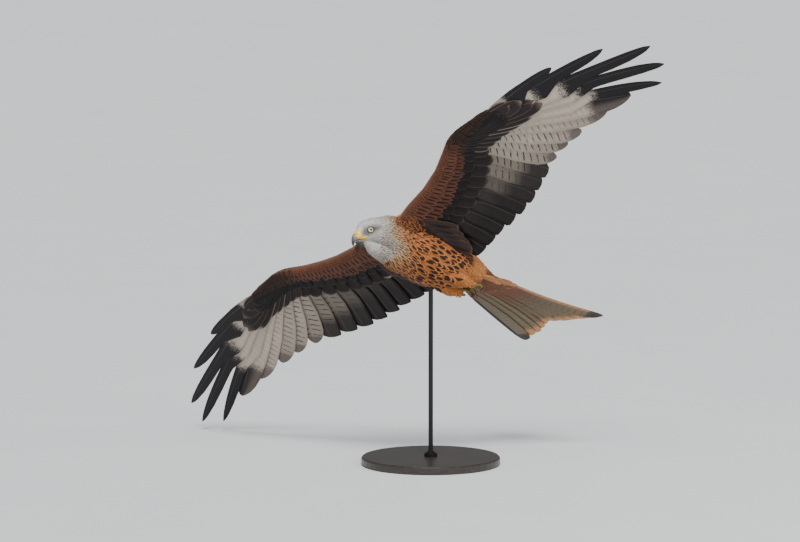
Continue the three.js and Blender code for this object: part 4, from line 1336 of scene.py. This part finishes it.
def feather_inputs(tree):
    """What every feather carries: how far off the shaft, 0 to 1, millimetres and share from the root, its colours."""
    lie = add(tree, "Attribute", attribute_name="lie", out="Vector")
    side, mm, share = (add(tree, "SeparateXYZ", {0: lie}, out=k) for k in range(3))
    colours = {}
    for word in ("ground", "mark", "edge"):
        colours[word] = add(tree, "Attribute", attribute_name=word, out="Color")
        colours[word + "_share"] = add(tree, "Attribute", attribute_name=word, out="Alpha")
    return calc(tree, "ABSOLUTE", side), mm, share, colours


def barbs(tree, shader, off, mm, base, pitch, depth):
    """Barbs run out from the shaft and on towards the tip: uneven fine lines in the colour and the bump."""
    across = calc(tree, "MULTIPLY", calc(tree, "MULTIPLY_ADD", off, -6.0, mm), 1 / pitch)
    lines = noise(tree, 1.0, 2.0, add(tree, "CombineXYZ", {0: across, 1: off}), Roughness=0.6)
    shade = add(tree, "MapRange", {0: lines, 1: 0.3, 2: 0.7, 3: 0.80, 4: 1.16})
    dress(tree, shader, blend(tree, 1.0, base, shade, blend_type="MULTIPLY"), lines, depth)


def contour_feather():
    """Keratin vanes of the body: matt, downy at the edge, with a dark drop down the middle and a paler rim."""
    constants = {"Roughness": 0.72, "Specular IOR Level": 0.16, "Sheen Weight": 0.05}
    material, tree, shader = surface("feather_contour_matt", constants)
    off, mm, share, colours = feather_inputs(tree)
    fray = calc(tree, "MULTIPLY_ADD", noise(tree, 900.0, 2.0), 0.24, -0.12)
    # the drop runs from where it begins to near the tip and is widest halfway
    twice = calc(tree, "MULTIPLY_ADD", share, 2.0, -STREAK_END)
    from_middle = calc(tree, "SUBTRACT", twice, colours["mark_share"])
    along = calc(tree, "DIVIDE", from_middle, calc(tree, "SUBTRACT", STREAK_END, colours["mark_share"]))
    taper = calc(tree, "SUBTRACT", 1.0, calc(tree, "MULTIPLY", along, along))
    half = calc(tree, "MULTIPLY_ADD", colours["ground_share"], taper, fray)
    drop = soft(tree, calc(tree, "SUBTRACT", half, off), -0.09, 0.09)
    reach = calc(tree, "ADD", calc(tree, "MAXIMUM", off, share), colours["edge_share"])
    edged = blend(tree, soft(tree, reach, 0.93, 1.05), colours["ground"], colours["edge"])
    marked = blend(tree, drop, edged, colours["mark"])
    barbs(tree, shader, off, mm, marked, BARB_PITCH["contour"], 0.0004)
    return material


def flight_feather():
    """Stiff keratin vanes of wing and tail: faintly glossy, barred across, with a paler shaft."""
    material, tree, shader = surface("feather_flight_satin", {"Roughness": 0.52, "Specular IOR Level": 0.22})
    off, mm, share, colours = feather_inputs(tree)
    ragged, fine = noise(tree, 90.0, 3.0), noise(tree, 500.0, 2.0)
    # bars: wavy, slanted and broken, clear of the shaft and of the edge
    bent = calc(tree, "MULTIPLY_ADD", off, -5.0, calc(tree, "MULTIPLY_ADD", ragged, 7.0, mm))
    phase = calc(tree, "FRACT", calc(tree, "MULTIPLY", bent, 1 / BAR_PITCH))
    barred = soft(tree, calc(tree, "ABSOLUTE", calc(tree, "SUBTRACT", phase, 0.5)), 0.115, 0.065)
    clear_of_shaft, clear_of_edge = soft(tree, off, 0.08, 0.2), soft(tree, off, 0.92, 0.7)
    for mask in (soft(tree, ragged, 0.36, 0.48, 0.3), clear_of_shaft, clear_of_edge, colours["ground_share"]):
        barred = calc(tree, "MULTIPLY", barred, mask)
    body = blend(tree, barred, colours["ground"], colours["mark"])
    # the tip's colour begins at a ragged line across the vane
    torn = calc(tree, "MULTIPLY_ADD", fine, 0.12, calc(tree, "MULTIPLY_ADD", ragged, 0.07, share))
    past = calc(tree, "SUBTRACT", torn, colours["edge_share"])
    tipped = blend(tree, soft(tree, past, 0.06, 0.125), body, colours["edge"])
    shafted = blend(tree, soft(tree, off, 0.05, 0.025, 0.0, 0.24), tipped, colour("#7d726a"))
    barbs(tree, shader, off, mm, shafted, BARB_PITCH["flight"], 0.0003)
    return material


def down():
    """Short matt down on the skin, in the colours of the feathers over it."""
    material, tree, shader = surface("down_on_skin", {"Roughness": 0.85, "Sheen Weight": 0.15})
    ground, streak = (add(tree, "Attribute", attribute_name="ground", out=out) for out in ("Color", "Alpha"))
    mark = add(tree, "Attribute", attribute_name="mark", out="Color")
    tufts = noise(tree, 260.0, 4.0, Roughness=0.7)
    amount = calc(tree, "MULTIPLY", soft(tree, tufts, 0.48, 0.6), streak)
    dress(tree, shader, blend(tree, amount, ground, mark), tufts, 0.0015, 0.7)
    return material


def cere_skin():
    """The waxy bare skin at the root of the bill: yellow, faintly pitted, half glossy."""
    constants = {"Roughness": 0.42, "Subsurface Weight": 0.1, "Subsurface Radius": (0.002, 0.001, 0.0004)}
    material, tree, shader = surface("bare_skin_waxy_yellow", constants)
    where = add(tree, "TexCoord", out="Object")
    pits = add(tree, "TexVoronoi", {"Vector": where, "Scale": 900.0}, feature="SMOOTH_F1")
    blotch = soft(tree, noise(tree, 160.0, 3.0), 0.35, 0.7)
    dress(tree, shader, blend(tree, blotch, colour("#f0cf3a"), colour("#dba92a")), pits, strength=0.4)
    return material


def horn(name, root, middle):
    """Keratin of bill and claws: near black at the tip, smooth with fine growth lines."""
    material, tree, shader = surface(name, {"Roughness": 0.32})
    cloud = noise(tree, 220.0, 3.0)
    shifted = calc(tree, "MULTIPLY_ADD", cloud, 0.3, add(tree, "Attribute", attribute_name="grown", out="Fac"))
    pale = blend(tree, soft(tree, shifted, 0.5, 0.25), colour(middle), colour(root))
    dress(tree, shader, blend(tree, soft(tree, shifted, 0.45, 1.0), pale, colour("#252328")), cloud, strength=0.25)
    return material


def eyeball():
    """A wet eye: black pupil, pale yellow iris with fine spokes and a darker rim, under a clear glossy coat."""
    constants = {"Roughness": 0.3, "Specular IOR Level": 0.15, "Coat Weight": 0.4, "Coat Roughness": 0.02}
    material, tree, shader = surface("eye_wet", constants)
    off = add(tree, "Attribute", attribute_name="off_axis", out="Fac")
    spokes = soft(tree, noise(tree, 1400.0, 3.0), 0.3, 0.7)
    iris = blend(tree, spokes, colour("#e6e0bb"), colour("#b9ab72"))
    rimmed = blend(tree, soft(tree, off, *IRIS_RIM), iris, colour("#191514"))
    dress(tree, shader, blend(tree, soft(tree, off, *PUPIL_RIM), rimmed, colour("#060506")))
    return material


def bare_rim():
    """The bare rim of the eyelids: dark grey skin with fine wrinkles."""
    material, tree, shader = surface("bare_skin_lids", {"Roughness": 0.55})
    folds = noise(tree, 1200.0, 2.0)
    dress(tree, shader, blend(tree, soft(tree, folds, 0.35, 0.7), colour("#1b1716"), colour("#2f2a27")), folds)
    return material


def shaded_scaled_skin():
    """Scaly skin of shank and toes, its yellow darkened to dull olive as painted shade: scutes about 2 mm across with
    darker lines between them.
    """
    material, tree, shader = surface("bare_skin_scaled_yellow_painted_shade", {"Roughness": 0.55})
    where = add(tree, "TexCoord", out="Object")
    cells = add(tree, "TexVoronoi", {"Vector": where, "Scale": 480.0}, feature="DISTANCE_TO_EDGE")
    line = soft(tree, cells, 0.0, 0.12)
    # painted shade: dull olive in place of the feet's bright yellow
    dress(tree, shader, blend(tree, line, colour("#463a1b"), colour("#7f6d35")), line, 0.0003, 0.6)
    return material


def lacquered_board():
    """A turned board base in dark satin lacquer, with the grain just showing."""
    material, tree, shader = surface("lacquered_board_dark", {"Roughness": 0.35})
    where = add(tree, "TexCoord", out="Object")
    grain = noise(tree, 18.0, 5.0, add(tree, "Mapping", {"Vector": where, "Scale": (1.0, 14.0, 14.0)}), Roughness=0.65)
    brown = blend(tree, soft(tree, grain, 0.35, 0.7), colour("#2a2623"), colour("#3b332d"))
    dress(tree, shader, brown, grain, strength=0.3)
    return material


def blacked_steel():
    """A drawn steel rod, blacked: dark, with fine marks along its length."""
    material, tree, shader = surface("steel_rod_blacked", {"Metallic": 0.9})
    where = add(tree, "TexCoord", out="Object")
    marks = noise(tree, 1.0, 3.0, add(tree, "Mapping", {"Vector": where, "Scale": (900.0, 900.0, 12.0)}))
    shine = add(tree, "MapRange", {0: marks, 1: 0.3, 2: 0.7, 3: 0.32, 4: 0.5})
    tree.links.new(shine, shader.inputs["Roughness"])
    dress(tree, shader, blend(tree, marks, colour("#2b2b2d"), colour("#3d3d40")))
    return material


def studio_floor():
    """Pale matt floor paint, with a faint mottle."""
    material, tree, shader = surface("floor_paint_pale", {"Roughness": 0.9})
    mottle = add(tree, "MapRange", {0: noise(tree, 3.0, 4.0), 1: 0.3, 2: 0.7})
    dress(tree, shader, blend(tree, mottle, colour("#dcdedf"), colour("#e0e2e3")))
    return material


# Bill, cere and eyes, in the head's frame
# Upper bill from the brow to the hook: culmen point, lower edge point, half width
UPPER_BILL = [
    (15, 18.5, 9, -9.4, 12),
    (21.5, 16, 14, -9.4, 10.3),
    (28, 12.6, 21, -9.2, 8.8),
    (34.3, 7.4, 28, -8.9, 7.6),
    (39.5, 3, 33, -9.2, 6.4),
    (43, -3, 36.5, -10.2, 5),
    (45.2, -10, 39.7, -12.4, 3.3),
    (45.7, -15.5, 42.3, -16.2, 1.7),
    (44.8, -19.8, 44.2, -19.9, 0.5),
]
CERE_START, CERE_END = 0.6, 3  # the rows where the cere begins, and where the horn takes over
CERE_SWELL = 0.25  # how far the cere stands over the horn
LOWER_BILL = [
    (11, -10, 9, -15.2, 9.5),
    (20, -9.8, 19, -14.6, 7.4),
    (28, -9.6, 28, -13.6, 5.8),
    (34, -10, 33.5, -13, 4.2),
    (38, -11.2, 37.6, -12.4, 2.2),
]
BILL_SIDES = 24
NOSTRIL = (29.5, 7.6, 3)
NOSTRIL_SIZE = (2.8, 1.1, 1.7)
NOSTRIL_DENT = (2.2, 1.6)  # radius and depth
# Corner of the mouth, from the front back: place and radius
GAPE = [(27, 8.6, -9.2, 1.2), (21, 10.3, -9.6, 1.8), (16, 11.9, -10.1, 1.5), (12.5, 13, -10.5, 0.5)]


def bill_mesh(rows, start, end, steps, grow=0.0):
    """A smooth tube through the bill's rows, from one row to another, with how far along each ring lies."""
    bm = bmesh.new()
    grown = bm.verts.layers.float.new("grown")
    table = [(i, *row) for i, row in enumerate(rows)]
    rings = []
    for at in np.linspace(start, end, steps):
        top_x, top_z, low_x, low_z, half = (float(between(table, at, k)) for k in range(1, 6))
        middle = Vector(((top_x + low_x) / 2, 0, (top_z + low_z) / 2))
        rise = Vector(((top_x - low_x) / 2, 0, (top_z - low_z) / 2))
        rise = rise * (1 + grow / max(rise.length, 1))
        matrix = Matrix(((0, half + grow, 0, 0), (*rise, 0), (1, 0, 0, 0), (*middle, 1)))
        made = bmesh.ops.create_circle(bm, segments=BILL_SIDES, radius=1, matrix=matrix.transposed())
        for vert in made["verts"]:
            vert[grown] = at / (len(rows) - 1)
        rings.append(edges_of(made))
    skin_tube(bm, rings)
    bmesh.ops.recalc_face_normals(bm, faces=bm.faces)
    return bm


def dent(bm, centre, radius, depth):
    """Draws the surface in round a point on each side."""
    for side in (1, -1):
        at = Vector((centre[0], centre[1] * side, centre[2]))
        for vert in bm.verts:
            off = vert.co - at
            gap = math.hypot(off.x / 1.5, off.z)
            if abs(off.y) < 4 and gap < radius:
                vert.co.y -= side * depth * (1 - (gap / radius) ** 2)


def face_pieces(cere_material, horn_material, lower_material, dark_material):
    cere = bill_mesh(UPPER_BILL, CERE_START, CERE_END + 0.06, 22, grow=CERE_SWELL)
    dent(cere, NOSTRIL, *NOSTRIL_DENT)
    upper = bill_mesh(UPPER_BILL, CERE_END - 0.3, len(UPPER_BILL) - 1, 34)
    lower = bill_mesh(LOWER_BILL, 0, len(LOWER_BILL) - 1, 22)
    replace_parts(finished(cere, "cere_skin", cere_material, HANG @ HEAD), "cere")
    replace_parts(finished(upper, "bill_upper", horn_material, HANG @ HEAD), "upper_bill")
    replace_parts(finished(lower, "bill_lower", lower_material, HANG @ HEAD), "lower_bill")
    for word, side in SIDES:
        bm = bmesh.new()
        places = [(HEAD @ Matrix.Translation((x, y * side, z)), radius) for x, y, z, radius in GAPE]
        skin_tube(bm, [ring_at(bm, at, radius, radius, 12) for at, radius in places])
        bmesh.ops.recalc_face_normals(bm, faces=bm.faces)
        finished(bm, f"{word}_gape", cere_material)
        bm = bmesh.new()
        place = HEAD @ Matrix.Translation((NOSTRIL[0], (NOSTRIL[1] - 1.5) * side, NOSTRIL[2]))
        place = place @ Matrix.Rotation(math.radians(-25), 4, "Y") @ Matrix.Diagonal((*NOSTRIL_SIZE, 1))
        bmesh.ops.create_uvsphere(bm, u_segments=16, v_segments=10, radius=1, matrix=place)
        finished(bm, f"{word}_nostril", dark_material)


def eyes(eye_material, lid_material):
    for word, side in SIDES:
        place = HEAD @ Matrix.Translation((0, side * EYE_SIDE, 0)) @ Matrix.Rotation(-side * math.pi / 2, 4, "X")
        bm = bmesh.new()
        off_axis = bm.verts.layers.float.new("off_axis")
        bmesh.ops.create_uvsphere(bm, u_segments=40, v_segments=48, radius=EYE_RADIUS)
        for vert in bm.verts:
            vert[off_axis] = math.hypot(vert.co.x, vert.co.y) if vert.co.z > 0 else EYE_RADIUS
        ball = finished(bm, f"{word}_eyeball", eye_material, HANG @ place)
        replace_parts(ball, f"{word}_eye")
        bm = bmesh.new()
        height = math.sqrt(EYE_RADIUS**2 - EYE_OPENING**2) + 0.3
        turned = Matrix.Translation((EYE_OPENING + 0.35, 0, height)) @ Matrix.Rotation(math.pi / 2, 4, "X")
        edges = edges_of(bmesh.ops.create_circle(bm, segments=10, radius=LID_RADIUS, matrix=turned))
        bmesh.ops.spin(bm, geom=edges, cent=(0, 0, 0), axis=(0, 0, 1), angle=2 * math.pi, steps=40, use_merge=True)
        bmesh.ops.remove_doubles(bm, verts=bm.verts, dist=1e-4)
        bmesh.ops.recalc_face_normals(bm, faces=bm.faces)
        finished(bm, f"{word}_lids", lid_material, HANG @ place)


# The whole bird
CONTOUR = contour_feather()
FLIGHT = flight_feather()
CERE = cere_skin()
BILL = horn("horn_bill", "#8b857f", "#8b857f")
CLAWS = horn("horn_claws", "#1f1c1e", "#1f1c1e")

body_skin = piece("skin", skin, down())
ground, mark, _, streak, begins = plumage(skin_points, skin_normals[:, 2])
for word, values in (("ground", np.hstack([ground, streak])), ("mark", np.hstack([mark, begins]))):
    skin.attributes.new(word, "FLOAT_COLOR", "POINT").data.foreach_set("color", values.ravel())
skin.transform(HANG)
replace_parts(body_skin, "head", "neck", "torso", "left_thigh", "right_thigh")

for row in COATS:
    coat(*row)

for word, side in SIDES:
    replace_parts(flight_feathers(f"{word}_flight_feathers", side, FLIGHT), f"{word}_wing")
    arm_coverts(f"{word}_arm_coverts", side, CONTOUR)
    coverts(f"{word}_under_coverts", side, -1, CONTOUR)
    coverts(f"{word}_over_coverts", side, 1, CONTOUR)
    wing_extras(f"{word}_thumb_and_armpit", side, CONTOUR)
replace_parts(tail_feathers("tail_vanes", FLIGHT), "tail")
tail_coverts("tail_coverts", CONTOUR)

face_pieces(CERE, BILL, horn("horn_bill_lower", "#d6ae3a", "#8f8a80"), bare_rim())
eyes(eyeball(), bare_rim())


def finish_node(name, material):
    """Gives a node that stays its real finish."""
    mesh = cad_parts[name].data
    mesh.materials.clear()
    mesh.materials.append(material)


foot = shaded_scaled_skin()
for word in ("left", "right"):
    finish_node(f"{word}_foot", foot)
    for i in range(1, 5):
        finish_node(f"{word}_claw_{i}", CLAWS)
finish_node("stand_base", lacquered_board())
finish_node("stand_rod", blacked_steel())


# Floor, light and camera
LIGHTS = [
    # name, kind, energy, place, what it looks at, and its angle or size
    ("sky_panel", "SUN", 4.2, (0.1, -2.2, 3.2), (0, 0, 0.4), "angle", math.radians(24)),
    ("front_panel", "AREA", 48, (3.0, -2.2, 2.0), (0, 0, 0.5), "size", 2.0),
    ("low_panel", "AREA", 4, (-3.0, -1.8, 0.4), (0, 0, 0.5), "size", 1.6),
]
WORLD_STRENGTH = 0.32
CAMERA_AWAY = 20.0
CAMERA_LENS = 418.5
CAMERA_SHIFT = (0.00378, -0.0952)  # to the right and up from the point between the shoulders


def stage_floor():
    bm = bmesh.new()
    bmesh.ops.create_grid(bm, x_segments=2, y_segments=2, size=60)
    mesh = bpy.data.meshes.new("floor")
    bm.to_mesh(mesh)
    bm.free()
    floor = bpy.data.objects.new("floor", mesh)
    bpy.context.scene.collection.objects.link(floor)
    mesh.materials.append(studio_floor())


def stage_light(name, kind, energy, place, target, word, value):
    data = bpy.data.lights.new(name, kind)
    data.energy = energy
    setattr(data, word, value)
    lamp = bpy.data.objects.new(name, data)
    lamp.location = place
    lamp.rotation_mode = "QUATERNION"
    lamp.rotation_quaternion = (Vector(target) - Vector(place)).to_track_quat("-Z", "Y")
    bpy.context.scene.collection.objects.link(lamp)


def stage_camera():
    """Far off, looking down by the view's pitch."""
    sin, cos = math.sin(VIEW_PITCH), math.cos(VIEW_PITCH)
    data = bpy.data.cameras.new("camera")
    data.sensor_width, data.lens = 36.0, CAMERA_LENS
    data.clip_start, data.clip_end = 0.1, 200
    camera = bpy.data.objects.new("camera", data)
    shift = Vector((CAMERA_SHIFT[0], 0, 0)) + Vector((0, sin, cos)) * CAMERA_SHIFT[1]
    camera.location = HUNG_AT - Vector((0, cos, -sin)) * CAMERA_AWAY + shift
    camera.rotation_euler = (math.pi / 2 - VIEW_PITCH, 0, 0)
    bpy.context.scene.collection.objects.link(camera)
    bpy.context.scene.camera = camera


stage_floor()
for row in LIGHTS:
    stage_light(*row)
world = bpy.data.worlds.new("studio")
world.use_nodes = True
background = world.node_tree.nodes["Background"]
background.inputs["Color"].default_value = colour("#e4e7ea")
background.inputs["Strength"].default_value = WORLD_STRENGTH
bpy.context.scene.world = world
stage_camera()
